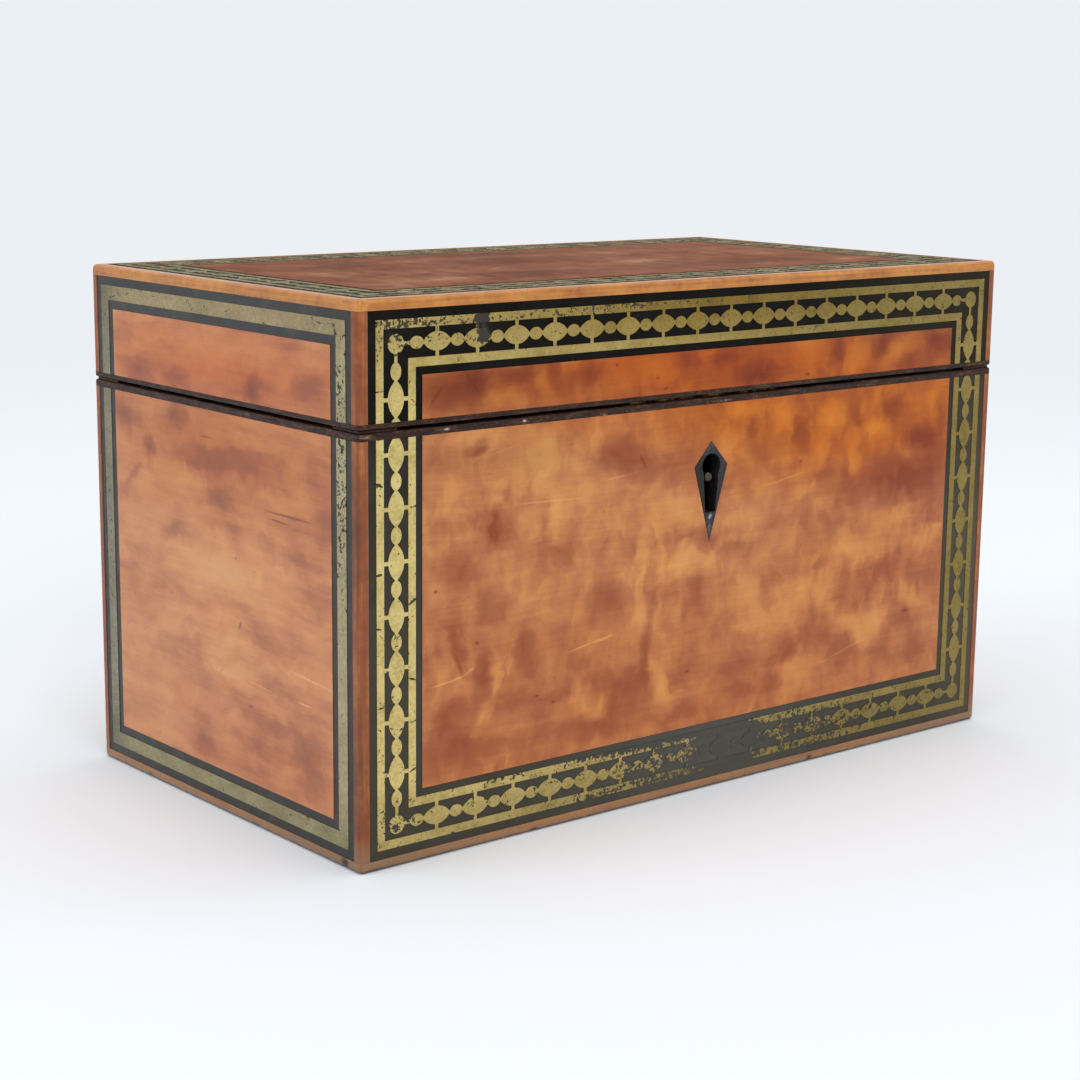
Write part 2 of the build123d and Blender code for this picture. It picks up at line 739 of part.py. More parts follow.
with BuildPart() as lock_plate:
    with Locations((0, -IN_Y - LOCK_PLATE / 2, LOCK_LOW)):
        Box(LOCK_WIDE, LOCK_PLATE, SELVAGE_UNDER - LOCK_LOW, align=ON_TOP)
    with Locations((0, -IN_Y - SELVAGE_DEEP / 2, SELVAGE_UNDER)):
        Box(LOCK_WIDE, SELVAGE_DEEP, SELVAGE, align=ON_TOP)
    with Locations((-STAPLE_AT, STAPLE_Y, SELVAGE_TOP), (STAPLE_AT, STAPLE_Y, SELVAGE_TOP)):
        Box(
            STAPLE + 2 * STAPLE_ROOM,
            STAPLE_WIDE + 2 * STAPLE_ROOM,
            3 * SELVAGE,
            mode=Mode.SUBTRACT,
        )
    for x in STUDS_AT:
        stud = Location((x, PLATE_Y, BOLT_LOW + BOLT_HIGH / 2), (90, 0, 0))
        with Locations(stud):
            Cylinder(STUD_COLLAR_R, BOLT_OFF_PLATE - BOLT_RUN, align=ON_TOP)
            Cylinder(STUD_R, CAP_DEEP - CAP_WALL, align=ON_TOP)
    countersink_for_screws(SELVAGE_SCREWS, SELVAGE)
    countersink_for_screws(LOCK_PLATE_SCREWS, LOCK_PLATE)
write("lock_plate", lock_plate)

with BuildPart() as lock_cap:
    with Locations((0, (PLATE_Y + CAP_Y) / 2, CAP_LOW)):
        Box(CAP_WIDE, CAP_DEEP, SELVAGE_UNDER - CAP_LOW, align=ON_TOP)
    cut_block(
        (CAP_WALL - CAP_WIDE / 2, CAP_Y + CAP_WALL, CAP_LOW + CAP_WALL),
        (CAP_WIDE / 2 - CAP_WALL, PLATE_Y, SELVAGE_UNDER),
    )
    with BuildSketch(side_plane("front", 0)):
        add(keyhole_figure(KEY_ROOM))
    extrude(amount=-(VENEER + BOARD), mode=Mode.SUBTRACT)
write("lock_cap", lock_cap)

with BuildPart() as drill_pin:
    pin_long = HALF_Y - DRILL_PIN_BACK + PLATE_Y
    with Locations(Location((0, PLATE_Y, DRILL_PIN_Z), (90, 0, 0))):
        Cylinder(DRILL_PIN_R, pin_long, align=ON_TOP)
    chamfer(drill_pin.faces().sort_by(Axis.Y)[0].edges(), DRILL_PIN_EASE)
write("drill_pin", drill_pin)

# The bolt slides to the right on two studs, and its two fingers enter the staples' eyes

with BuildPart() as lock_bolt:
    staple_lefts = [at - STAPLE / 2 for at in (-STAPLE_AT, STAPLE_AT)]
    riser_rights = [left - BOLT_THROW - BOLT_RUN for left in staple_lefts]
    bar_left = riser_rights[0] - BOLT_RISER
    bar_right = max(STUDS_AT) + 2 * STUD_COLLAR_R
    with BuildSketch(Plane.XZ.offset(-BOLT_Y)):
        with Locations(((bar_left + bar_right) / 2, BOLT_LOW)):
            Rectangle(bar_right - bar_left, BOLT_HIGH, align=(Align.CENTER, Align.MIN))
        for right, left in zip(riser_rights, staple_lefts):
            with Locations((right - BOLT_RISER / 2, BOLT_TOP - BOLT_RISER)):
                Rectangle(
                    BOLT_RISER,
                    FINGER_LOW + FINGER_HIGH - BOLT_TOP + BOLT_RISER,
                    align=(Align.CENTER, Align.MIN),
                )
            with Locations((right, FINGER_LOW)):
                Rectangle(left - STAPLE_ROOM - right, FINGER_HIGH, align=(Align.MIN, Align.MIN))
        with Locations((0, BOLT_LOW)):
            Rectangle(TALON_WIDE, 2 * TALON_DEEP, mode=Mode.SUBTRACT)
        for x in STUDS_AT:
            with Locations((x - BOLT_THROW / 2, BOLT_LOW + BOLT_HIGH / 2)):
                SlotCenterToCenter(
                    BOLT_THROW + 2 * BOLT_RUN, 2 * (STUD_R + BOLT_RUN), mode=Mode.SUBTRACT
                )
    extrude(amount=BOLT)
write("lock_bolt", lock_bolt)

with BuildPart() as bolt_spring:
    foot_x, bow_x, tip_x = (CAP_WIDE / 2 - inside for inside in SPRING_INS)
    spring_top = BOLT_LOW - BOLT_RUN - SPRING / 2
    with BuildSketch(Plane.XZ.offset(-PLATE_Y)):
        with BuildLine() as leaf:
            ThreePointArc(
                (foot_x, CAP_LOW + SPRING_UP),
                (bow_x, (CAP_LOW + spring_top) / 2 + SPRING_UP),
                (tip_x, spring_top - SPRING_PLAY),
            )
        trace(line_width=SPRING)
    extrude(amount=SPRING_WIDE)
write("bolt_spring", bolt_spring)

with BuildPart() as lock_screws:
    with Locations(*SELVAGE_SCREWS, *LOCK_PLATE_SCREWS):
        add(screw.part)
write("lock_screws", lock_screws)

# Link plate under the lid's front rim, with two staples that drop into the lock

with BuildPart() as link_plate:
    with Locations((0, -IN_Y - SELVAGE_DEEP / 2, LINK_FOOT)):
        Box(LOCK_WIDE, SELVAGE_DEEP, SELVAGE, align=ON_TOP)
    with Locations((-STAPLE_AT, STAPLE_Y, LINK_FOOT), (STAPLE_AT, STAPLE_Y, LINK_FOOT)):
        Box(STAPLE, STAPLE_WIDE, LINK_FOOT - STAPLE_LOW, align=HANGING)
    with Locations((-STAPLE_AT, STAPLE_Y, EYE_LOW), (STAPLE_AT, STAPLE_Y, EYE_LOW)):
        Box(
            2 * STAPLE,
            STAPLE_WIDE - 2 * STAPLE_WALL,
            EYE_HIGH,
            align=ON_TOP,
            mode=Mode.SUBTRACT,
        )
    countersink_for_screws(LINK_SCREWS, SELVAGE)
write("link_plate", link_plate)

with BuildPart() as link_plate_screws:
    with Locations(*LINK_SCREWS):
        add(screw.part)
write("link_plate_screws", link_plate_screws)

# Butt hinges: the base's leaf has the outer and middle knuckles, the lid's leaf those between


def knuckle_xs(hinge, first):
    """Where the middles of every second knuckle lie."""
    return [
        hinge - HINGE_LONG / 2 + (index + 0.5) * KNUCKLE_LONG for index in range(first, KNUCKLES, 2)
    ]


def across(x):
    """A place on the hinge line, turned so that a cylinder lies along it."""
    return Location((x, HALF_Y, SPLIT), (0, 90, 0))


def hinge_leaf(hinge, level, first):
    """One leaf, its back edge on the hinge line, with every second knuckle."""
    with Locations((hinge, HALF_Y - LEAF_WIDE / 2, level)):
        Box(HINGE_LONG, LEAF_WIDE, LEAF, align=ON_TOP)
    own = [across(x) for x in knuckle_xs(hinge, first)]
    others = [across(x) for x in knuckle_xs(hinge, 1 - first)]
    with Locations(*own):
        Cylinder(KNUCKLE_R, KNUCKLE_LONG - KNUCKLE_GAP)
    with Locations(*others):
        Cylinder(KNUCKLE_R + KNUCKLE_ROOM, KNUCKLE_LONG + KNUCKLE_GAP, mode=Mode.SUBTRACT)
    with Locations(across(hinge)):
        Cylinder(PIN_R + PIN_FIT, 2 * HINGE_LONG, mode=Mode.SUBTRACT)


with BuildPart() as hinge_base_leaves:
    for hinge in (-HINGE_AT, HINGE_AT):
        hinge_leaf(hinge, BASE_LEAF_TOP - LEAF, 0)
    countersink_for_screws(BASE_HINGE_SCREWS, LEAF)
write("hinge_base_leaves", hinge_base_leaves)

with BuildPart() as hinge_lid_leaves:
    for hinge in (-HINGE_AT, HINGE_AT):
        hinge_leaf(hinge, LID_LEAF_FOOT, 1)
    countersink_for_screws(LID_HINGE_SCREWS, LEAF)
write("hinge_lid_leaves", hinge_lid_leaves)

with BuildPart() as hinge_pins:
    with Locations(across(-HINGE_AT), across(HINGE_AT)):
        Cylinder(PIN_R, HINGE_LONG)
write("hinge_pins", hinge_pins)

with BuildPart() as hinge_base_screws:
    with Locations(*BASE_HINGE_SCREWS):
        add(screw.part)
write("hinge_base_screws", hinge_base_screws)

with BuildPart() as hinge_lid_screws:
    with Locations(*LID_HINGE_SCREWS):
        add(screw.part)
write("hinge_lid_screws", hinge_lid_screws)
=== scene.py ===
# %% [markdown]
# # An antique tea caddy
#
# A tea caddy is a small locked box for tea. This one is veneered in satinwood, with black
# borders that carry a gilded bead pattern, rounded strips on its edges, and a kite-shaped
# escutcheon round the keyhole. Inside are two foil-lined rooms with lift-out covers.
#
# The solid pieces come ready made, at their real size, as a fixed frame. The lesson gives
# each one the finish of the real thing, and makes two thin things of its own: slips in the
# rim and the creased foil. Then it builds the floor, the light and the camera.

import json
import math
import random
from collections import namedtuple

import bmesh
import bpy
from mathutils import Matrix, Vector, noise


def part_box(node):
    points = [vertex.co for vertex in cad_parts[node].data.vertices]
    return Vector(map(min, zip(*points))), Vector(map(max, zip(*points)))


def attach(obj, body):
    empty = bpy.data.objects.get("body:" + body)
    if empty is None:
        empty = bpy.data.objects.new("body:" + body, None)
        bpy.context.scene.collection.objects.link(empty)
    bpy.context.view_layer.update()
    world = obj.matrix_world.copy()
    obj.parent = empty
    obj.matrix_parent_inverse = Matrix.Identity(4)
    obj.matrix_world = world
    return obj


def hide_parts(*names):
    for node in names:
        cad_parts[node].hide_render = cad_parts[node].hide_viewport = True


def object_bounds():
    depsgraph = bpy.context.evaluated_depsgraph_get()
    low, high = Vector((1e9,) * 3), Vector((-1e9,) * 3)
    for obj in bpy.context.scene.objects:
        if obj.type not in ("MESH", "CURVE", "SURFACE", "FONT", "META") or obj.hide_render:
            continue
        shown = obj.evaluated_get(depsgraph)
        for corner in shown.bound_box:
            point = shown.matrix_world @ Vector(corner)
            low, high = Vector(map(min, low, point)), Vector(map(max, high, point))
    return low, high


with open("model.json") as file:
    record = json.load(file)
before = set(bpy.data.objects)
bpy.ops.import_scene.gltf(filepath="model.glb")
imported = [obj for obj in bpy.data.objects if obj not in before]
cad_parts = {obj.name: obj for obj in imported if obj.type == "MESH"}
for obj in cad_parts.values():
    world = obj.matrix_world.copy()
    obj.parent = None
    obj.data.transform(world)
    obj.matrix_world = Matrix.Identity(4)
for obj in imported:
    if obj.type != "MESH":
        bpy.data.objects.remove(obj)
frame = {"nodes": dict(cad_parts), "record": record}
nodes = frame["nodes"]
cad_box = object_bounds()
slot_of = {part["node"]: part["material_slot"] for part in frame["record"]["subparts"]}

# %% [markdown]
# Colours are easiest to choose as sRGB hex values, the way a paint program shows them, but
# Blender's shaders count in linear light. One function turns the first into the second.
# The view transform Standard then shows a colour just as it was written.

# %% Colours
bpy.context.scene.view_settings.view_transform = "Standard"


def linear(hex_colour):
    """An sRGB hex colour as linear red, green, blue and alpha."""
    parts = [int(hex_colour[i : i + 2], 16) / 255 for i in (1, 3, 5)]
    return (*[c / 12.92 if c <= 0.04045 else ((c + 0.055) / 1.055) ** 2.4 for c in parts], 1.0)


print("middle grey in linear light:", round(linear("#808080")[0], 3))

# %% [markdown]
# A procedural material is a small tree of nodes. It could be drawn by hand in the shader
# editor. In a script, one function that adds any node keeps each material short. A value
# that is another node's socket is linked, a name with a capital, or a number, is a socket
# of the node, and any other name is one of its options.

# %% Nodes
MAIN_SHADER = "Principled BSDF"


def add_node(tree, kind, settings):
    """Add a node to a tree, and link or set its sockets and options."""
    node = tree.nodes.new(kind)
    for name, value in settings.items():
        if isinstance(value, bpy.types.NodeSocket):
            tree.links.new(value, node.inputs[name])
        elif isinstance(name, int) or name[0].isupper():
            node.inputs[name].default_value = value
        else:
            setattr(node, name, value)
    return node


def start_material(name, settings):
    """A new material and its node tree, with what is even all over set on its shader."""
    material = bpy.data.materials.new(name)
    material.use_nodes = True
    shader = material.node_tree.nodes[MAIN_SHADER]
    for socket, value in settings.items():
        shader.inputs[socket].default_value = value
    return material, material.node_tree


def ramp_colour(tree, value, stops):
    """Turn a value into a colour by its (position, hex colour) stops."""
    node = add_node(tree, "ShaderNodeValToRGB", {0: value})
    elements = node.color_ramp.elements
    while len(elements) < len(stops):
        elements.new(0.5)
    for element, (position, colour) in zip(elements, stops):
        element.position = position
        element.color = linear(colour)
    return node.outputs[0]


print("one function adds every node")

# %% [markdown]
# Wood figure, wear and dirt all need to know where on the box a point lies. Object
# coordinates give that, because every piece keeps its place in its own mesh. They are
# laid out here as a flat map of one face, in millimetres, so that each pattern below can
# be given its real size. The third axis runs into the box and keeps opposite faces apart.
# A map that is opened folds the two together, like the leaves of a book.

# %% A flat map of a face in millimetres
MM_PER_M = 1000.0
Face = namedtuple("Face", "axes depth opened", defaults=(False,))
end_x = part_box("base_end_veneers")[0].x * MM_PER_M
FRONT = Face(("X", "Z", "Y"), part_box("base_front_veneer")[0].y * MM_PER_M)
BACK = Face(("X", "Z", "Y"), cad_box[1].y * MM_PER_M)
LEFT_END = Face(("Y", "Z", "X"), end_x)
BOTH_ENDS = Face(("Y", "Z", "X"), -end_x, opened=True)
TOP = Face(("X", "Y", "Z"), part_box("lid_top_veneer")[1].z * MM_PER_M)


def map_face(tree, face):
    """The shaded point in millimetres, as across, up and into a face or a pair of faces."""
    place = add_node(tree, "ShaderNodeTexCoord", {}).outputs["Object"]
    parts = add_node(tree, "ShaderNodeSeparateXYZ", {0: place}).outputs
    across, up, into = (parts[axis] for axis in face.axes)
    if face.opened:
        into = add_node(tree, "ShaderNodeMath", {"operation": "ABSOLUTE", 0: into}).outputs[0]
    flat = add_node(tree, "ShaderNodeCombineXYZ", {0: across, 1: up, 2: into}).outputs[0]
    settings = {"operation": "SCALE", "Scale": MM_PER_M, 0: flat}
    return add_node(tree, "ShaderNodeVectorMath", settings).outputs[0]


print("the front's map runs", [round(v * MM_PER_M) for v in (cad_box[0].x, cad_box[1].x)], "mm")

# %% [markdown]
# Two things are drawn on such a map. Clouds are random noise, stretched to a real size along
# each axis, and they give a surface its ground. Marks are soft ovals, listed one by one, where
# the eye looks for them. Both only add to a value. Whether it stands for a colour, a gloss or
# wear is decided later, so the same two functions serve wood, metal and paper.

# %% Clouds and marks
MAP_DEPTH = 60.0  # how far into the box a mark on one face reaches, in millimetres
NOISE_LOW, NOISE_HIGH = 0.25, 0.75  # nearly all of a noise texture lies between these


def add_clouds(tree, place, clouds, total):
    """Add random clouds to a value: each has its size along three axes, detail and strength."""
    for size, detail, strength in clouds:
        settings = {"vector_type": "TEXTURE", "Scale": size, "Vector": place}
        stretched = add_node(tree, "ShaderNodeMapping", settings).outputs[0]
        settings = {"Scale": 1.0, "Detail": detail, "Vector": stretched}
        cloud = add_node(tree, "ShaderNodeTexNoise", settings).outputs["Fac"]
        settings = {0: cloud, 1: NOISE_LOW, 2: NOISE_HIGH, 3: -strength, 4: strength}
        centred = add_node(tree, "ShaderNodeMapRange", settings).outputs[0]
        settings = {"operation": "ADD", 0: centred, 1: total}
        total = add_node(tree, "ShaderNodeMath", settings).outputs[0]
    return total


def add_marks(tree, place, depth, marks, total):
    """Add soft ovals to a value: across, up, half length, half width, tilt and strength."""
    for across, up, long, wide, tilt, strength in marks:
        settings = {
            "vector_type": "TEXTURE",
            "Location": (across, up, depth),
            "Rotation": (0, 0, math.radians(tilt)),
            "Scale": (long, wide, MAP_DEPTH),
            "Vector": place,
        }
        oval = add_node(tree, "ShaderNodeMapping", settings).outputs[0]
        settings = {"gradient_type": "SPHERICAL", 0: oval}
        soft = add_node(tree, "ShaderNodeTexGradient", settings).outputs["Fac"]
        settings = {"operation": "MULTIPLY_ADD", 0: soft, 1: strength, 2: total}
        total = add_node(tree, "ShaderNodeMath", settings).outputs[0]
    return total


print("a mark reaches", MAP_DEPTH, "mm into the box")

# %% [markdown]
# Nothing in wood or wear has a ruled edge. When the place itself is pushed about by slow
# noise, whatever is drawn there turns wavy. Dust and open pores are specks instead, and lie
# at random without touching: the middles of the cells of a Voronoi texture do just that.

# %% Drift and specks
SPECK_EVEN = 0.4  # a speck is even out to this share of its radius


def drift(tree, place, size, reach):
    """The place, pushed about by slow noise, so that what is drawn there gets wavy edges."""
    settings = {"Scale": 1.0 / size, "Detail": 2.0, "Vector": place}
    push = add_node(tree, "ShaderNodeTexNoise", settings).outputs["Color"]
    settings = {"operation": "SUBTRACT", 0: push, 1: (0.5, 0.5, 0.5)}
    centred = add_node(tree, "ShaderNodeVectorMath", settings).outputs[0]
    settings = {"operation": "MULTIPLY_ADD", 0: centred, 1: (reach, reach, 0.0), 2: place}
    return add_node(tree, "ShaderNodeVectorMath", settings).outputs[0]


def add_specks(tree, place, colour, spacing, radius, speck, amount):
    """Scatter small round specks of another colour."""
    settings = {"Scale": 1.0 / spacing, "Randomness": 1.0, "Vector": place}
    grains = add_node(tree, "ShaderNodeTexVoronoi", settings).outputs["Distance"]
    edge = radius / spacing
    settings = {0: grains, 1: edge, 2: edge * SPECK_EVEN, 3: 0.0, 4: amount}
    cover = add_node(tree, "ShaderNodeMapRange", settings).outputs[0]
    settings = {"data_type": "RGBA", 0: cover, 6: colour, 7: linear(speck)}
    return add_node(tree, "ShaderNodeMix", settings).outputs[2]


print("specks are even to", SPECK_EVEN, "of their radius")

# %% [markdown]
# A tint changes a colour only where its own marks and clouds say so, as a glaze would. A
# finished material has a colour, a roughness and mostly a relief as well. The relief here is
# a bump, which is enough for pores and scratches a few hundredths of a millimetre deep.

# %% Tints and the finished material
BUMP_STRENGTH = 0.5  # full strength would look carved


def tint(tree, place, depth, colour, tints, blend="MULTIPLY"):
    """Blend each tint in turn into a colour, where its marks and clouds say so."""
    for hue, marks, clouds in tints:
        amount = add_clouds(tree, place, clouds, add_marks(tree, place, depth, marks, 0.0))
        settings = {"data_type": "RGBA", "blend_type": blend, "clamp_factor": True}
        settings |= {0: amount, 6: colour, 7: linear(hue)}
        colour = add_node(tree, "ShaderNodeMix", settings).outputs[2]
    return colour


def finish_material(material, links, height=None, relief_mm=0.0):
    """Link the shader's sockets and, where a height is given, a relief of so many millimetres."""
    tree = material.node_tree
    if height is not None:
        settings = {"Strength": BUMP_STRENGTH, "Distance": relief_mm / MM_PER_M, "Height": height}
        links |= {"Normal": add_node(tree, "ShaderNodeBump", settings).outputs[0]}
    for socket, value in links.items():
        tree.links.new(value, tree.nodes[MAIN_SHADER].inputs[socket])
    print(material.name, "has", len(tree.nodes), "nodes")
    return material


print("a relief is drawn at", BUMP_STRENGTH, "of its depth")

# %% [markdown]
# Satinwood is a yellow hardwood that old shellac polish turns orange-brown. In this veneer
# the fibres wave in and out of the surface, so it shows soft dark mottles and light flames
# a centimetre or so wide, across a fine straight grain. A photograph could carry that, but
# it would fix one lighting into the wood. Here it is painted by nodes instead: random
# clouds at the real sizes give the ground, and the mottles that catch the eye on the old
# box are listed one by one, because a veneer's figure is what one tells it by.
#
# Each mark is: across, up, half its length, half its width, its tilt in degrees, strength.
# Dark marks are below zero. The lid was cut from the box after veneering, so one map runs
# over both.

# %% The figure of the front
FRONT_MOTTLES = [
    # Upper left of the front
    (-74, 80, 8, 8, 0, -0.5),
    (-66, 98, 12, 6, -10, -0.2),
    (-80, 101, 5, 3, 30, -0.3),
    (-34, 97, 9, 7, -20, -0.3),
    (-27, 94, 17, 7, -12, -0.36),
    (-9, 93, 11, 7, 0, -0.32),
    (-58, 82, 3, 9, 0, -0.25),
    (-52, 73, 10, 5, 0, -0.14),
    (-38, 72, 14, 4, 0, -0.08),
    (-8, 71, 22, 4, 0, -0.22),
    (-84, 73, 11, 7, 0, -0.38),
    (-74, 62, 8, 7, 0, -0.28),
    # Lower left
    (-64, 49, 10, 6, -55, -0.34),
    (-77, 46, 3.5, 14, 8, -0.36),
    (-86, 36, 12, 5, 10, -0.36),
    (-85, 50, 2.2, 9, 20, -0.36),
    (-84, 56, 9, 7, 0, -0.24),
    (-60, 36, 26, 7, -5, -0.22),
    (-42, 42, 7, 8, 0, -0.08),
    (-27, 33, 12, 8, 0, -0.38),
    (-22, 46, 3, 12, -12, -0.34),
    (-36, 57, 11, 8, -20, -0.26),
    (14, 66, 13, 4, 0, -0.2),
    (-5, 57, 13, 8, 0, -0.18),
    (-8, 35, 12, 7, 0, -0.3),
    (-86, 27, 16, 8, 0, -0.42),
    (-62, 26, 24, 4, 0, -0.16),
    (-35, 25, 18, 6, 0, -0.26),
    (-11, 23, 13, 6, 0, -0.28),
    # Upper right
    (15, 98, 3.5, 9, 24, -0.24),
    (33, 97, 3.6, 10, 24, -0.36),
    (57, 98, 3.4, 10, 20, -0.28),
    (72, 101, 10, 6, 10, -0.4),
    (84, 90, 9, 4.5, 0, -0.42),
    (90, 79, 12, 17, 0, -0.46),
    (93, 98, 4, 8, 0, -0.34),
    (67, 79, 24, 10, -5, -0.48),
    (80, 78, 12, 7, 0, -0.24),
    (40, 81, 16, 4, 4, -0.16),
    (28, 72, 8, 7, 0, -0.08),
    (47, 68, 14, 6, 0, -0.12),
    # Lower right
    (38, 62, 9, 4, 0, -0.1),
    (34, 36, 18, 7, 0, -0.22),
    (12, 33, 14, 5, 0, -0.2),
    (50, 34, 11, 8, -35, -0.18),
    (59, 48, 14, 8, -20, -0.2),
    (70, 52, 14, 6, 0, -0.22),
    (89, 50, 11, 7, 0, -0.26),
    (78, 36, 11, 6, 20, -0.2),
    (74, 26, 15, 6, 0, -0.22),
    (89, 26, 12, 7, 0, -0.2),
    (18, 25, 17, 6, 0, -0.26),
    # Lid
    (-85, 117, 14, 8, 0, -0.34),
    (-79, 119, 6, 4, -30, -0.3),
    (-66, 120, 14, 4, 0, -0.34),
    (-44, 117, 15, 6, 0, -0.26),
    (16, 113, 15, 6, 0, -0.5),
    (4, 119, 6, 3, 0, -0.3),
    (47, 117, 5, 9, 10, -0.42),
    (66, 119, 5, 6, 0, -0.46),
    (89, 119, 11, 8, 0, -0.56),
    (79, 112, 12, 4, 0, -0.3),
    (74, 121, 9, 4, 0, -0.22),
    (-8, 120, 8, 5, 0, -0.24),
]
FRONT_FLAMES = [
    (-56, 83, 11, 11, 0, 0.26),
    (-59, 97, 19, 9, 0, 0.42),
    (-18, 80, 20, 7, 0, 0.2),
    (-14, 64, 24, 8, 0, 0.34),
    (-80, 104, 12, 4, 0, 0.2),
    (46, 99, 8, 7, 0, 0.5),
    (42, 91, 9, 5, 10, 0.26),
    (62, 94, 11, 4.5, 5, 0.42),
    (90, 101, 6, 5, 0, 0.2),
    (10, 104, 11, 3, -8, 0.2),
    (6, 95, 6, 5, -40, 0.36),
    (28, 101, 8, 6, 0, 0.4),
    (28, 90, 8, 3, 10, 0.16),
    (56, 86, 3.5, 6, 20, 0.3),
    (40, 80, 12, 3, 5, 0.24),
    (37, 51, 14, 7, 0, 0.34),
    (14, 52, 8, 6, 0, 0.28),
    (22, 44, 14, 5, 0, 0.24),
    (55, 59, 15, 8, 0, 0.42),
    (73, 67, 14, 6, 0, 0.2),
    (86, 60, 16, 5, 0, 0.18),
    (55, 39, 14, 4, -40, 0.3),
    (66, 38, 12, 6, 0, 0.26),
    (84, 42, 13, 4, -20, 0.24),
    (-25, 53, 6, 10, 0, 0.22),
    (-17, 33, 4, 10, 28, 0.32),
    (-76, 36, 4, 9, -20, 0.28),
    (-42, 31, 12, 5, 0, 0.2),
    (34, 28, 7, 6, 40, 0.22),
    (-22, 117, 12, 5, 0, 0.44),
    (-34, 116, 5, 6, 20, 0.3),
    (-58, 116, 3, 7, 20, 0.36),
    (-72, 113, 12, 4, 0, 0.2),
    (36, 118, 9, 7, 0, 0.5),
    (56, 116, 8, 6, 0, 0.5),
    (72, 116, 8, 5, 30, 0.46),
    (50, 112, 9, 4, 0, 0.24),
]
print(len(FRONT_MOTTLES), "mottles and", len(FRONT_FLAMES), "flames on the front")

# %% [markdown]
# The ends are cut from a calmer leaf of the same wood, paler and pinker in its middle, with
# a few purple-brown clouds. Two leaves that lay on each other in the log show the same
# figure when they are opened like a book, so both ends share one map. A place towards the
# front has its across value below zero.
#
# The back is not seen in the photograph. Its mottles and flames are scattered by a seeded
# random draw, with sizes and strengths like those of the front.

# %% The figure of the ends
END_MOTTLES = [
    (46, 125, 10, 6, 0, -0.2),
    (40, 113.5, 12, 5, 0, -0.42),
    (19.5, 113.5, 9, 4.5, 0, -0.3),
    (-18.5, 114, 6.5, 5, 0, -0.42),
    (-45, 117, 10, 7, 0, -0.34),
    (-34, 125, 7, 5, 0, -0.17),
    (47, 102, 9, 8, 0, -0.34),
    (21, 103, 9, 5.5, 0, -0.35),
    (38, 101, 4, 5, 0, -0.17),
    (34.5, 92, 4.2, 7, -12, -0.39),
    (44, 84, 11, 2.6, -45, -0.22),
    (4, 94, 24, 5, 0, -0.25),
    (-21, 95, 15, 4, 0, -0.2),
    (-2.5, 84.5, 9, 5.5, 0, -0.37),
    (-9, 74.5, 6, 5.6, 0, -0.27),
    (22, 73, 9, 5.5, 0, -0.2),
    (-23, 74, 7, 5, 0, -0.17),
    (-38, 74, 11, 5, 0, -0.22),
    (-45, 66, 11, 7, 0, -0.17),
    (-49, 88, 9, 16, 0, -0.18),
    (44, 54, 18, 15, 0, -0.13),
    (-17, 53, 12, 7, 0, -0.18),
    (11, 40, 7, 11, 0, -0.17),
    (-18, 23, 14, 14, 0, -0.18),
    (-43, 25, 12, 11, 0, -0.29),
    (8, 18, 8, 13, 0, -0.17),
    (-34, 32, 18, 12, 0, -0.12),
]
END_FLAMES = [
    (0, 121, 40, 8, 0, 0.14),
    (20, 88, 24, 6, 0, 0.14),
    (-2, 66, 40, 12, 0, 0.18),
    (27, 20, 18, 14, 0, 0.18),
    (-5, 46, 20, 12, 0, 0.12),
    (-2, 100, 30, 4, 0, 0.1),
]


MOTTLES_OF_FIVE = 3  # of each five marks on the back, the others are flames
LONG, WIDE = (6, 22), (4, 9)  # least and most half length and half width in millimetres
DARK, LIGHT = (-0.42, -0.16), (0.14, 0.3)
LEAN = (-22, 22)  # degrees


def scatter_figure(seed, half_width, low, high, count):
    """Random mottles and flames over a face, like those of the front."""
    draw = random.Random(seed)
    marks = []
    for i in range(count):
        strengths = DARK if i % 5 < MOTTLES_OF_FIVE else LIGHT
        across, up = draw.uniform(-half_width, half_width), draw.uniform(low, high)
        long, wide = draw.uniform(*LONG), draw.uniform(*WIDE)
        strength = draw.uniform(*strengths)
        marks.append((across, up, long, wide, draw.uniform(*LEAN), strength))
    return marks


BACK_FIGURE = scatter_figure(seed=7, half_width=95, low=20, high=120, count=90)
print(len(END_MOTTLES), "mottles and", len(END_FLAMES), "flames on the ends")

# %% [markdown]
# A polish that is two centuries old has hairline scratches, bruises and open pores. They
# are narrow marks on the same map, without the drift that bends the wood's own figure.
# A light scratch has broken the polish, and a dark one holds dirt.

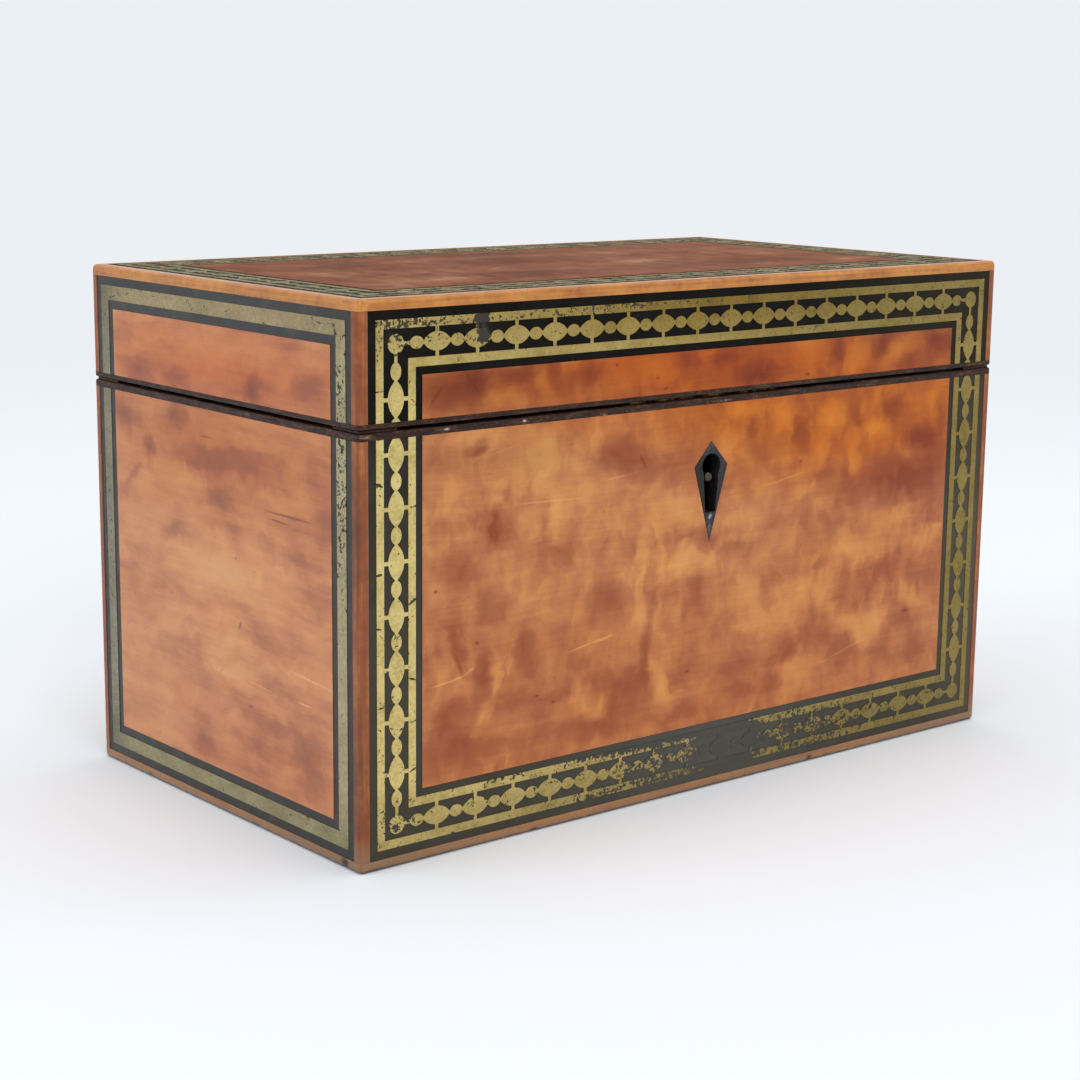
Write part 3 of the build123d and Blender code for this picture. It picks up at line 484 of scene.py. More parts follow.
# %% Scratches and bruises
FRONT_SCRATCHES = [
    (-90, 44.2, 4, 0.4, 6, 0.4),
    (-85, 44.9, 4, 0.5, 12, 0.34),
    (-81, 46.4, 2, 0.5, 24, 0.3),
    (-45, 46.8, 5, 0.4, 10, 0.36),
    (-38, 47.8, 4, 0.5, 8, 0.46),
    (-35, 48.4, 1.6, 0.5, 4, 0.3),
    (-56, 86.4, 14, 0.35, -2, 0.28),
    (-30, 90.5, 12, 0.3, 6, 0.16),
    (55, 31, 15, 0.4, 14, 0.2),
    (28, 83.5, 12, 0.4, 9, 0.2),
    (-70, 101, 10, 0.3, 12, 0.12),
    (-24.4, 93.4, 3, 0.7, -58, -0.4),
    (-78, 101.3, 3, 1.3, 18, -0.4),
    (80.5, 39, 2, 0.7, 0, -0.5),
    (-84.5, 48, 4.5, 0.9, -68, -0.3),
    (-91.8, 67.8, 0.8, 0.6, 0, -0.6),
    (-79, 53, 1, 0.6, -20, -0.5),
    (-7, 34.4, 1, 0.5, 0, -0.5),
    (-54, 33.8, 0.9, 0.5, 0, -0.5),
    (-59.5, 36.2, 0.8, 0.5, 0, -0.5),
    (-20, 115, 1, 0.6, 0, -0.5),
    (-17, 112, 1.4, 0.5, 15, -0.4),
    (36, 112, 1.2, 0.7, 0, -0.5),
    (-34, 119.4, 0.8, 0.6, 0, -0.5),
    (34.5, 87.8, 1.4, 0.5, 5, -0.35),
    (-92, 115.5, 4, 0.6, 50, -0.3),
    (-81, 118.5, 5, 0.6, -50, -0.3),
]
END_SCRATCHES = [
    (-33, 84.3, 12, 0.45, 0, -0.5),
    (-29, 82.4, 6, 0.4, 2, -0.45),
    (-10.3, 52.5, 1.6, 0.7, -60, -0.5),
    (4, 99.4, 6, 0.4, 0, -0.3),
    (-15, 32, 1.2, 0.5, -15, -0.35),
    (-42, 44.6, 12, 0.5, 4, 0.3),
    (-40, 37.8, 4, 0.4, 0, 0.35),
    (-20, 38.2, 8, 0.3, 4, 0.2),
    (-8.6, 69.7, 1, 0.4, 0, -0.4),
]
TOP_SCRATCHES = [
    (-70, -14, 10, 0.7, 20, 0.4),
    (-58, -28, 14, 0.5, 8, 0.36),
    (-84, -33, 12, 0.9, -10, 0.3),
    (-30, -8, 12, 0.6, 35, 0.26),
    (-12, -30, 9, 0.5, -15, 0.3),
    (8, 12, 16, 0.6, 12, 0.26),
    (35, -20, 13, 0.5, -20, 0.3),
    (60, 10, 10, 0.6, 40, 0.2),
    (-46, 22, 15, 0.6, -5, 0.24),
    (78, -24, 9, 0.5, 15, 0.26),
    (22, 34, 12, 0.5, 5, 0.2),
    (-96, -20, 6, 2.0, 0, 0.2),
    (-20, -40, 22, 1.6, 3, 0.16),
]
TOP_FIGURE = [
    (-70, -30, 26, 12, 10, 0.3),
    (-60, 20, 18, 26, 0, -0.2),
    (-30, -26, 24, 10, -8, -0.24),
    (-12, 10, 30, 14, 0, -0.28),
    (18, -10, 26, 8, 20, 0.24),
    (34, 24, 24, 12, -12, 0.2),
    (52, -24, 28, 10, 0, -0.22),
    (74, 6, 20, 22, 0, 0.16),
    (82, -34, 16, 8, 0, 0.24),
    (0, 34, 30, 10, 0, -0.2),
    (-84, 4, 10, 14, 0, 0.22),
]
print(len(FRONT_SCRATCHES) + len(END_SCRATCHES) + len(TOP_SCRATCHES), "scratches and bruises")

# %% [markdown]
# The wood itself: the clouds and marks add up to a tone, from the dark of a mottle at 0 to
# the light of a flame at 1, and a colour ramp turns tone into colour. The ramp's stops lie
# close together round the middle, because the figure of satinwood has fairly sharp edges.
# A leaf is lively or calm by its clouds, and by how far fine ripples cover it.

# %% Colour and grain of satinwood
SATINWOOD = [
    (0.0, "#8c421e"),
    (0.32, "#a5603a"),
    (0.5, "#ba7546"),
    (0.62, "#c9854c"),
    (0.86, "#d89a58"),
]
MIDDLE_TONE = 0.5
BEES_WING = [((6.5, 9.0, 40.0), 3.0, 0.17)]  # size in millimetres, detail and strength
SOFT_BANDS = [((30.0, 6.0, 40.0), 3.0, 0.13), ((8.0, 5.0, 40.0), 3.0, 0.08)]
LIVELY = (BEES_WING, 0.1)  # clouds of a leaf, and how far ripples cover it
CALM = (SOFT_BANDS, -0.3)
RIPPLES = [((3.6, 9.0, 40.0), 1.5, 0.34)]
RIPPLED = [((32.0, 20.0, 60.0), 1.0, 0.6)]  # where the ripples show
FIBRES = [  # drawn about twice as coarse as the wood's own, to show at this distance
    ((34.0, 1.5, 40.0), 3.0, 0.036),
    ((9.0, 0.4, 40.0), 2.0, 0.03),
]
FIBRE_RELIEF = 0.02  # millimetres
PORES = (5.0, 0.28, "#4a2a1c", 0.6)  # spacing, radius, colour and how much of it
print("ripples", RIPPLES[0][0][0], "mm apart, fibres", FIBRES[1][0][1], "mm wide")

# %% [markdown]
# Polished wood is not a mirror: shellac has an IOR of about 1.5, and two hundred years of
# handling leave it satin, so the roughness is near 0.35 and wanders a little. The figure
# drifts twice, slowly and quickly, the fibres drift once, and the scratches, which came
# later, not at all.

# %% Figured satinwood
SLOW_DRIFT = (11.0, 7.0)  # size and reach in millimetres
QUICK_DRIFT = (3.4, 3.2)
GRAIN_DRIFT = (38.0, 4.0)
SHELLAC_IOR = 1.5
HANDLED = [((18.0, 12.0, 40.0), 3.0, 0.07)]


def satinwood(name, face, leaf, figure, scratches, tints, tones=SATINWOOD, gloss=(0.36, 0.25)):
    """Polished figured satinwood on one face, with its roughness and specular level."""
    ground, rippled = leaf
    rough, level = gloss
    material, tree = start_material(name, {"IOR": SHELLAC_IOR, "Specular IOR Level": level})
    place = map_face(tree, face)
    wavy = drift(tree, drift(tree, place, *SLOW_DRIFT), *QUICK_DRIFT)
    ripples = add_clouds(tree, wavy, RIPPLES, 0.0)
    where = add_clouds(tree, place, RIPPLED, rippled)
    shown = add_node(tree, "ShaderNodeMath", {"operation": "MAXIMUM", 0: where, 1: 0.0})
    settings = {"operation": "MULTIPLY_ADD", 0: ripples, 1: shown.outputs[0], 2: MIDDLE_TONE}
    tone = add_node(tree, "ShaderNodeMath", settings).outputs[0]
    tone = add_clouds(tree, wavy, ground, tone)
    tone = add_marks(tree, wavy, face.depth, figure, tone)
    tone = add_clouds(tree, drift(tree, place, *GRAIN_DRIFT), FIBRES, tone)
    tone = add_marks(tree, place, face.depth, scratches, tone)
    colour = tint(tree, wavy, face.depth, ramp_colour(tree, tone, tones), tints)
    colour = add_specks(tree, place, colour, *PORES)
    roughness = add_clouds(tree, place, HANDLED, rough)
    links = {"Base Color": colour, "Roughness": roughness}
    return finish_material(material, links, tone, FIBRE_RELIEF)


cover_wood = satinwood("satinwood covers", TOP, CALM, [], [], [], gloss=(0.4, 0.3))

# %% [markdown]
# The polish has not aged evenly. On the front it is a deeper yellow to the right of the
# keyhole, and hazy and greyer on the left. Across the lid it is a deeper, darker yellow,
# partly the polish's own colour and partly painted shade. Base and lid are two pieces of
# one sheet of veneer, so each takes the marks of the shared map that reach it.

# %% Veneer of the front
HUE_CLOUDS = [((30.0, 22.0, 60.0), 2.0, 0.3)]
FRONT_TINTS = [  # each has its colour, marks and clouds
    ("#f8e9d8", [(10, 22, 170, 50, 0, 1.1), (70, 70, 60, 40, 0, 0.8)], HUE_CLOUDS),
    ("#f3ca5c", [(60, 99, 90, 26, 0, 1.6), (-10, 118, 80, 26, 0, 1.2)], []),
    # deeper, darker yellow across the lid: partly painted shade
    ("#e3c480", [(0, 118, 400, 14, 0, 1.1)], []),
    ("#d8c4c4", [(-84, 117, 40, 10, 0, 1.0)], []),
    ("#e2deda", [(-60, 98, 30, 9, -6, 0.9), (-84, 100, 14, 6, 0, 0.7)], []),
]


def between(marks, low, high):
    """The marks that reach a stretch of the face, for a piece that is only part of it."""
    return [mark for mark in marks if low - mark[3] < mark[1] < high + mark[3]]


front_woods = {}
for piece in ("base", "lid"):
    low, high = (corner.z * MM_PER_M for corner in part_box(f"{piece}_front_veneer"))
    figure = between(FRONT_MOTTLES + FRONT_FLAMES, low, high)
    scratches = between(FRONT_SCRATCHES, low, high)
    name = f"satinwood {piece} front"
    front_woods[piece] = satinwood(name, FRONT, LIVELY, figure, scratches, FRONT_TINTS)

# %% [markdown]
# The other faces come from the same function. The ends are paler and pinker. The top is a
# matt, milky brown: its tones are its own and much darker, partly as painted shade, and its
# roughness is higher.

# %% Veneers of the back, the ends and the top
END_TINTS = [
    ("#f0e0e0", [(0, 10, 90, 30, 0, 0.9)], HUE_CLOUDS),
    ("#e8c88c", [(0, 96, 90, 24, 0, 1.0)], []),
    ("#eec49c", [(0, 118, 90, 14, 0, 1.2)], []),
]
END_TONES = [
    (0.06, "#8b4f34"),
    (0.32, "#a9643e"),
    (0.5, "#c47f4e"),
    (0.66, "#d2915a"),
    (0.9, "#dea467"),
]
# the top's darker tones: partly painted shade
TOP_TONES_WITH_SHADE = [
    (0.02, "#5b3121"),
    (0.34, "#70412b"),
    (0.5, "#824e35"),
    (0.7, "#966243"),
    (1.0, "#bb9478"),
]
back_tints = [("#f4e4dc", [], HUE_CLOUDS)]
top_tints = [("#eed0c4", [], HUE_CLOUDS)]
back_wood = satinwood("satinwood back", BACK, LIVELY, BACK_FIGURE, [], back_tints)
end_wood = satinwood(
    "satinwood ends",
    BOTH_ENDS,
    CALM,
    END_MOTTLES + END_FLAMES,
    END_SCRATCHES,
    END_TINTS,
    tones=END_TONES,
    gloss=(0.38, 0.45),
)
top_wood = satinwood(
    "satinwood top",
    TOP,
    LIVELY,
    TOP_FIGURE,
    TOP_SCRATCHES,
    top_tints,
    tones=TOP_TONES_WITH_SHADE,
    gloss=(0.6, 0.03),
)

# %% [markdown]
# The black bands round each panel are ebonised: pearwood or sycamore stained right through
# with iron and logwood, then polished. It is near black, with slow scuffs, and dust sits in
# it as pale specks. A flat black would look like a hole, so the stain is a ramp too.

# %% Ebonised wood
BLACK_STAIN = [(0.0, "#0d0b08"), (0.5, "#1a1813"), (0.75, "#2d2a22"), (1.0, "#4d4a40")]
BLACK_SCUFFS = [((7.0, 7.0, 7.0), 4.0, 0.26), ((0.8, 0.8, 0.8), 2.0, 0.12)]
BLACK_HANDLED = [((5.0, 5.0, 5.0), 3.0, 0.1)]
BLACK_RELIEF = 0.03  # millimetres
DUST = (3.6, 0.17, "#8f9290", 0.5)  # spacing, radius, colour and how much of it


def ebonised(name, face, tone, gloss, marks=(), painted_sheen=()):
    """Black-stained, polished wood with scuffs, painted sheen and dust."""
    rough, level = gloss
    material, tree = start_material(name, {"IOR": SHELLAC_IOR, "Specular IOR Level": level})
    place = map_face(tree, face)
    value = add_marks(tree, place, face.depth, marks, tone)
    value = add_clouds(tree, place, BLACK_SCUFFS, value)
    colour = tint(tree, place, face.depth, ramp_colour(tree, value, BLACK_STAIN), painted_sheen, "ADD")
    colour = add_specks(tree, place, colour, *DUST)
    roughness = add_clouds(tree, place, BLACK_HANDLED, rough)
    links = {"Base Color": colour, "Roughness": roughness}
    return finish_material(material, links, value, BLACK_RELIEF)


black_end = ebonised("ebonised pearwood ends", LEFT_END, 0.5, (0.42, 0.5))
black_top = ebonised("ebonised pearwood top", TOP, 0.6, (0.6, 0.05))

# %% [markdown]
# Under the lid's edge the front's bands are drawn near black. Lower down and towards the
# right they turn brown-grey: a painted sheen, the bright floor's reflection drawn into the
# colour. It is added to the stain's own colour, because a reflection lies on the polish and
# not in the wood.

# %% Bands of the front
SHEEN_CLOUDS = [((14.0, 14.0, 14.0), 3.0, 0.2)]
# painted sheen: green-grey reflection of the floor in the middle of the bottom border
BOTTOM_SHEEN_GREY = ("#2c2f2e", [(0, 11, 70, 24, 0, 1.2)], [])  # middle of the bottom border
BASE_SCUFFS = [(-8, 11, 40, 14, 0, 0.2)]
LID_SCUFFS = [(-106, 130, 14, 12, 0, 0.25), (-77, 131, 3, 6, 20, 0.7)]
# painted sheen of the bright floor, strongest low down, and a band of it on the right
BASE_PAINTED_SHEEN = [
    ("#38342a", [(0, 30, 3000, 88, 0, 1.5)], SHEEN_CLOUDS),
    ("#342d20", [(110, 50, 16, 140, 0, 0.9)], []),
    BOTTOM_SHEEN_GREY,
]
# painted sheen towards the right of the lid's bands
LID_PAINTED_SHEEN = [("#2a2418", [(112, 125, 80, 60, 0, 0.9)], [])]
black_base = ebonised(
    "ebonised pearwood base front", FRONT, 0.3, (0.38, 0.15), BASE_SCUFFS, BASE_PAINTED_SHEEN
)
# the lid's bands start darker than the base's, at the top of the painted sheen's gradient
black_lid = ebonised(
    "ebonised pearwood lid front", FRONT, 0.22, (0.38, 0.05), LID_SCUFFS, LID_PAINTED_SHEEN
)

# %% [markdown]
# The bead pattern is gilt: a thin yellow metal film over size, laid on the black ground.
# The pieces of gilding carry their true outline, so the material only has to say where the
# film is lost. Wear is a value again, raised by listed marks where the old box is rubbed:
# along its lower edge, at its corners, and in nicks across the left border.

# %% Where the gilding is worn
FRONT_WEAR = [
    # Top border, from the left corner on
    (-104, 132, 9, 9, 0, 0.36),
    (-93, 133.6, 26, 2.6, 0, 0.4),
    (-90, 129.5, 20, 3, 0, 0.24),
    (-77.5, 131.5, 3, 7, 12, 1.1),
    (-28, 134, 50, 2.2, 0, 0.36),
    (-70, 134, 40, 2.2, 0, 0.1),
    (99, 129, 14, 7, 0, 0.22),
    # Bottom border: rubbed through in the middle
    (9, 11, 17, 14, 0, 1.3),
    (-12, 17.5, 36, 3, 0, 0.9),
    (-40, 17, 38, 3, 0, 0.4),
    (-30, 6, 44, 3, 0, 0.3),
    (-15, 11, 40, 10, 0, 0.56),
    (-72, 11.5, 40, 5, 0, 0.2),
    (34, 11, 40, 12, 0, 0.5),
    (64, 11, 50, 10, 0, 0.2),
    (-76, 17, 40, 3, 0, 0.2),
    (-103, 12, 9, 7, 0, 0.4),
    (97, 20, 6, 12, 0, 0.16),
    # Nicks across the left border
    (-109, 96, 3, 0.5, -30, 0.9),
    (-98, 90, 3, 0.4, 10, 0.8),
    (-109, 74, 3, 0.4, 0, 0.9),
    (-98.5, 66.5, 3, 0.5, 25, 0.9),
    (-109, 61, 3, 0.4, -10, 0.8),
    (-103.5, 58, 3, 1.2, 0, 0.6),
    (-98.5, 47, 3, 0.4, -20, 0.9),
    (-109, 41, 3, 0.5, 20, 0.9),
    (-98.5, 36.5, 3, 0.4, 10, 0.8),
    (-103.5, 35, 3, 0.8, -10, 0.6),
    (-109, 28, 3, 0.4, 0, 0.9),
    (-98.5, 24, 3, 0.4, 30, 0.9),
    (-98.5, 115, 3, 0.5, -40, 0.8),
    (-109, 118, 3, 0.4, 10, 0.8),
]
END_WEAR = [
    (-56, 88, 5, 28, 0, 0.42),
    (-56, 120, 4, 14, 0, 0.4),
    (-54, 132, 5, 4, 0, 0.2),
    (-44, 10, 20, 4, 0, 0.14),
    (-56, 104, 3, 5, 0, 0.3),
]
print(len(FRONT_WEAR) + len(END_WEAR), "worn places")

# %% [markdown]
# The film wears off as specks first, then as islands, until only the black is left. A fine
# noise decides grain by grain whether it is still there. Where the ground has moved under
# it, the film has also split into fine cracks, which run along the edges of Voronoi cells.
# What is left is dull metal, and what is lost is no metal at all.

# %% Worn gilding
FILM_GRAIN = [((2.2, 2.2, 2.2), 2.0, 0.34), ((0.7, 0.7, 0.7), 3.0, 0.42)]
FILM_TONES = [((9.0, 9.0, 9.0), 3.0, 0.2), ((0.9, 0.9, 0.9), 2.0, 0.2)]
FILM_HANDLED = [((3.0, 3.0, 3.0), 3.0, 0.12)]
FILM_MIDDLE, FILM_LEVEL = 0.5, 0.2  # middle tone and specular level
FILM_DRIFT = (3.0, 1.6)  # size and reach in millimetres
FILM_WHOLE, FILM_LOST = 0.44, 0.54  # the wear at which a grain of film goes
FILM_METAL = 0.8  # old varnish over the film takes a fifth of its metal shine
CRACKS = 6.0  # spacing of the cracks in millimetres
CRACK = 0.02  # half their width, as a share of their spacing
CRACKED = [((16.0, 16.0, 16.0), 2.0, 0.6)]
CRACKED_SHARE = 0.15  # how far the film has cracked where the clouds are at their middle


def split_film(tree, place, wavy):
    """How far the film has split into cracks, from 0 to 1."""
    settings = {"feature": "DISTANCE_TO_EDGE", "Scale": 1.0 / CRACKS, "Vector": wavy}
    edge = add_node(tree, "ShaderNodeTexVoronoi", settings).outputs["Distance"]
    settings = {0: edge, 1: CRACK, 2: 0.0, 3: 0.0, 4: 1.0}
    crack = add_node(tree, "ShaderNodeMapRange", settings).outputs[0]
    where = add_clouds(tree, place, CRACKED, CRACKED_SHARE)
    settings = {"operation": "MULTIPLY_ADD", "use_clamp": True, 0: crack, 1: where, 2: 0.0}
    return add_node(tree, "ShaderNodeMath", settings).outputs[0]


def gilding(name, face, wear, film, tints, even_wear=0.06, rough=0.4, lost="#373228", painted_sheen=()):
    """Gilt film on black, lost where it is worn or cracked, over a black that can carry painted
    sheen.
    """
    material, tree = start_material(name, {"Specular IOR Level": FILM_LEVEL})
    place = map_face(tree, face)
    wavy = drift(tree, place, *FILM_DRIFT)
    worn = add_marks(tree, wavy, face.depth, wear, even_wear)
    settings = {"operation": "ADD", 0: worn, 1: split_film(tree, place, wavy)}
    worn = add_node(tree, "ShaderNodeMath", settings).outputs[0]
    worn = add_clouds(tree, place, FILM_GRAIN, worn)
    settings = {0: worn, 1: FILM_WHOLE, 2: FILM_LOST}
    gone = add_node(tree, "ShaderNodeMapRange", settings).outputs[0]
    tone = add_clouds(tree, place, FILM_TONES, FILM_MIDDLE)
    colour = tint(tree, place, face.depth, ramp_colour(tree, tone, film), tints)
    ground = tint(tree, place, face.depth, linear(lost), painted_sheen, "ADD")
    settings = {"data_type": "RGBA", 0: gone, 6: colour, 7: ground}
    colour = add_node(tree, "ShaderNodeMix", settings).outputs[2]
    settings = {0: gone, 1: 0.0, 2: 1.0, 3: FILM_METAL, 4: 0.0}
    metal = add_node(tree, "ShaderNodeMapRange", settings).outputs[0]
    roughness = add_clouds(tree, place, FILM_HANDLED, rough)
    links = {"Metallic": metal, "Base Color": colour, "Roughness": roughness}
    return finish_material(material, links)


print("cracks", CRACKS, "mm apart and", round(2 * CRACK * CRACKS, 2), "mm wide")

# %% [markdown]
# The front's film is the brightest. It is duller on the right, where the duller colour is a
# painted shade, and duller along the top and along the bottom. The ends are khaki under a
# grey-blue haze, a painted reflection of cool light, and the top is the most rubbed of all,
# brown and matt.

# %% Gilding of each face
BRIGHT_FILM = [(0.0, "#9c8748"), (0.5, "#d0bb77"), (1.0, "#e7d694")]
KHAKI_FILM = [(0.0, "#837a5a"), (0.5, "#a89b78"), (1.0, "#c4b896")]
BROWN_FILM = [(0.0, "#5b5238"), (0.5, "#85774e"), (1.0, "#b0a072")]
FRONT_FILM_TINTS = [
    # painted shade: the film drawn duller towards the right
    ("#aca48e", [(114, 60, 150, 150, 0, 1.3)], []),
    ("#a39264", [(0, 134, 180, 26, 0, 1.0)], []),
    ("#ada898", [(0, 6, 180, 20, 0, 0.9)], []),
]
# grey-blue haze over the film of the ends: painted reflection of cool light
END_FILM_SHEEN = [
    ("#eee7dc", [(0, 134, 600, 12, 0, 1.6)], []),
    ("#e9efe9", [(0, 6, 600, 12, 0, 1.6)], []),
    ("#cbd0e0", [(62, 70, 16, 600, 0, 1.6)], []),
]
back_film_tints = [("#c9bb8e", [], HUE_CLOUDS)]
gilt_front = gilding(
    "worn gilding front", FRONT, FRONT_WEAR, BRIGHT_FILM, FRONT_FILM_TINTS, painted_sheen=[BOTTOM_SHEEN_GREY]
)
gilt_end = gilding("worn gilding ends", BOTH_ENDS, END_WEAR, KHAKI_FILM, END_FILM_SHEEN)
gilt_back = gilding("worn gilding back", BACK, [], BRIGHT_FILM, back_film_tints, even_wear=0.14)
gilt_top = gilding(
    "worn gilding top", TOP, [], BROWN_FILM, [], even_wear=0.34, rough=0.6, lost="#33312b"
)

# %% [markdown]
# The strips on the edges are a plainer, straight-grained wood, stained orange and rounded
# by hand. The lowest strips have gathered grey from the tables the box stood on. A dark line
# along the floor is dirt and painted contact shadow, dirt sits in bruises of the bottom
# edge, and the strips are drawn darker up the corner.

# %% Tones, dirt and painted shadow of the edge stringing
STRING_TONES = [
    (0.0, "#54220b"),
    (0.3, "#753610"),
    (0.5, "#8e4b1e"),
    (0.8, "#c5823a"),
    (1.0, "#d89a4c"),
]
FLOOR_DUST = ("#86684e", [(0, 0, 900, 9, 0, 0.85)], [])
DIRT_AND_SHADOW_COLOUR = "#2b1c13"
FRONT_DIRT_AND_SHADOW = [
    # dirt and painted contact shadow along the floor
    (0, 0, 9000, 1.0, 0, 1.4),
    (42, 1.2, 1.6, 1.2, 0, 1.0),
    (-60, 0.4, 2.4, 1.2, 0, 0.9),
    (-114.5, 84, 1.2, 30, 0, 0.5),
    (-114.5, 24, 1.2, 30, 0, 0.5),
]
END_DIRT_AND_SHADOW = [
    # dirt and painted contact shadow along the floor
    (0, 0, 9000, 1.0, 0, 1.4),
    (-57, 1.7, 1.9, 1.5, 0, 1.6),
    (38, 0.8, 2, 1.2, 0, 0.8),
    (-16, 0.5, 3, 1.2, 0, 0.8),
]
print(len(FRONT_DIRT_AND_SHADOW) + len(END_DIRT_AND_SHADOW), "dirty places on the stringing")

# %% [markdown]
# Each strip's grain runs along it, so the rails along the front, the rails along the ends
# and the upright posts need three directions. They are chosen by place: two rings of rails
# at the bottom and the top, with the posts between them.

# %% Edge stringing
STRING = 2.8  # width of the strips in millimetres
ALONG, THICK = 26.0, 0.7  # length and width of a streak of its grain
STREAK_STRENGTH, POST_TONE, RAIL_LIGHTER = 0.5, 0.22, 0.26
STRING_ROUGH, STRING_LEVEL = 0.3, 0.42  # roughness and specular level
STRING_MOTTLE = [((9.0, 9.0, 9.0), 3.0, 0.1), ((2.0, 2.0, 2.0), 2.0, 0.06)]
STRING_HANDLED = [((6.0, 6.0, 6.0), 3.0, 0.08)]
STRING_RELIEF = 0.04  # millimetres
DIRT_AND_SHADOW_DRIFT = (3.0, 1.0)  # size and reach in millimetres


def further_than(tree, value, middle, distance):
    """1 where a value is further than a distance from the middle, and 0 elsewhere."""
    settings = {"operation": "SUBTRACT", 0: value, 1: middle}
    offset = add_node(tree, "ShaderNodeMath", settings).outputs[0]
    size = add_node(tree, "ShaderNodeMath", {"operation": "ABSOLUTE", 0: offset}).outputs[0]
    settings = {"operation": "GREATER_THAN", 0: size, 1: distance}
    return add_node(tree, "ShaderNodeMath", settings).outputs[0]


def along_strips(tree, place, on_rail):
    """The place, drawn out along the strip that it lies on."""
    parts = add_node(tree, "ShaderNodeSeparateXYZ", {0: place}).outputs
    on_end = further_than(tree, parts["X"], 0.0, cad_box[1].x * MM_PER_M - STRING)
    streaks = []
    for size in ((ALONG, THICK, THICK), (THICK, ALONG, THICK), (THICK, THICK, ALONG)):
        settings = {"vector_type": "TEXTURE", "Scale": size, "Vector": place}
        streaks.append(add_node(tree, "ShaderNodeMapping", settings).outputs[0])
    settings = {"data_type": "VECTOR", 0: on_end, 4: streaks[0], 5: streaks[1]}
    rail = add_node(tree, "ShaderNodeMix", settings).outputs[1]
    settings = {"data_type": "VECTOR", 0: on_rail, 4: streaks[2], 5: rail}
    return add_node(tree, "ShaderNodeMix", settings).outputs[1]


def edge_wood(name):
    """Straight-grained, orange-stained wood whose grain follows each strip."""
    even = {"IOR": SHELLAC_IOR, "Specular IOR Level": STRING_LEVEL}
    material, tree = start_material(name, even)
    place = map_face(tree, TOP)
    parts = add_node(tree, "ShaderNodeSeparateXYZ", {0: place}).outputs
    half_height = cad_box[1].z * MM_PER_M / 2
    on_rail = further_than(tree, parts["Z"], half_height, half_height - STRING)
    settings = {"Scale": 1.0, "Detail": 3.0, "Vector": along_strips(tree, place, on_rail)}
    grain = add_node(tree, "ShaderNodeTexNoise", settings).outputs["Fac"]
    settings = {"operation": "MULTIPLY_ADD", 0: grain, 1: STREAK_STRENGTH, 2: POST_TONE}
    value = add_node(tree, "ShaderNodeMath", settings).outputs[0]
    value = add_clouds(tree, place, STRING_MOTTLE, value)
    settings = {"operation": "MULTIPLY_ADD", 0: on_rail, 1: RAIL_LIGHTER, 2: value}
    value = add_node(tree, "ShaderNodeMath", settings).outputs[0]
    colour = ramp_colour(tree, value, STRING_TONES)
    for face, dirt_and_shadow in ((FRONT, FRONT_DIRT_AND_SHADOW), (BOTH_ENDS, END_DIRT_AND_SHADOW)):
        wavy = drift(tree, map_face(tree, face), *DIRT_AND_SHADOW_DRIFT)
        layers = [FLOOR_DUST, (DIRT_AND_SHADOW_COLOUR, dirt_and_shadow, [])]
        colour = tint(tree, wavy, face.depth, colour, layers, "MIX")
    roughness = add_clouds(tree, place, STRING_HANDLED, STRING_ROUGH)
    links = {"Base Color": colour, "Roughness": roughness}
    return finish_material(material, links, value, STRING_RELIEF)


string_wood = edge_wood("stained edge wood")

# %% [markdown]
# Both rims are faced with thin black strips. They take every knock of the closing lid, so
# they are browner and rougher than the bands, with pale chips where the wood broke away, and
# at the near corner the pale spot on the lip is a painted highlight as well.
# The chips could be cut into the mesh, but they are shallow and a millimetre or so wide, so
# a change of colour and a bump show them as well.

# %% Rim facings
RIM_TONES = [(0.0, "#140c08"), (0.45, "#321c10"), (0.75, "#523624"), (1.0, "#6d5748")]
RIM_CHIPS_AND_HIGHLIGHT = [
    # chip and painted highlight on the lip at the near corner
    (-112, 107.6, 3, 0.8, 0, 0.8),
    (-88.5, 107.6, 1.3, 0.6, 0, 1.0),
    (-64.5, 107.6, 1.0, 0.5, 0, 0.9),
    (-38, 107.0, 1.6, 0.6, 0, 0.6),
    (5, 107.2, 5, 0.6, 0, 0.3),
    (60, 107.3, 9, 0.6, 0, 0.3),
]
RIM_SCUFFS = [((6.0, 0.9, 6.0), 4.0, 0.34), ((1.0, 0.5, 1.0), 3.0, 0.3)]
RIM_HANDLED = [((2.0, 2.0, 2.0), 3.0, 0.15)]
RIM_MIDDLE, RIM_ROUGH, RIM_LEVEL = 0.42, 0.45, 0.2  # tone, roughness, specular level
RIM_RELIEF = 0.2  # millimetres
CHIP_AND_HIGHLIGHT_COLOUR = "#b5aea8"
# a pale spot is a chip, and at the near corner a painted highlight too
PALE_SPOT_BEGINS, PALE_SPOT_FULL = 1.05, 1.3  # the values between which a chip bares the wood
PALE_SPOT_DRIFT = (1.5, 0.8)  # size and reach in millimetres


def rim_wood(name):
    """Scuffed, chipped black strips, with a painted highlight at the near corner of the lip."""
    material, tree = start_material(name, {"Specular IOR Level": RIM_LEVEL})
    place = map_face(tree, FRONT)
    value = add_clouds(tree, place, RIM_SCUFFS, RIM_MIDDLE)
    value = add_marks(tree, drift(tree, place, *PALE_SPOT_DRIFT), FRONT.depth, RIM_CHIPS_AND_HIGHLIGHT, value)
    settings = {0: value, 1: PALE_SPOT_BEGINS, 2: PALE_SPOT_FULL}
    pale_spot = add_node(tree, "ShaderNodeMapRange", settings).outputs[0]
    dark = ramp_colour(tree, value, RIM_TONES)
    settings = {"data_type": "RGBA", 0: pale_spot, 6: dark, 7: linear(CHIP_AND_HIGHLIGHT_COLOUR)}
    colour = add_node(tree, "ShaderNodeMix", settings).outputs[2]
    roughness = add_clouds(tree, place, RIM_HANDLED, RIM_ROUGH)
    links = {"Base Color": colour, "Roughness": roughness}
    return finish_material(material, links, value, RIM_RELIEF)


rim_black = rim_wood("ebonised rim strips")

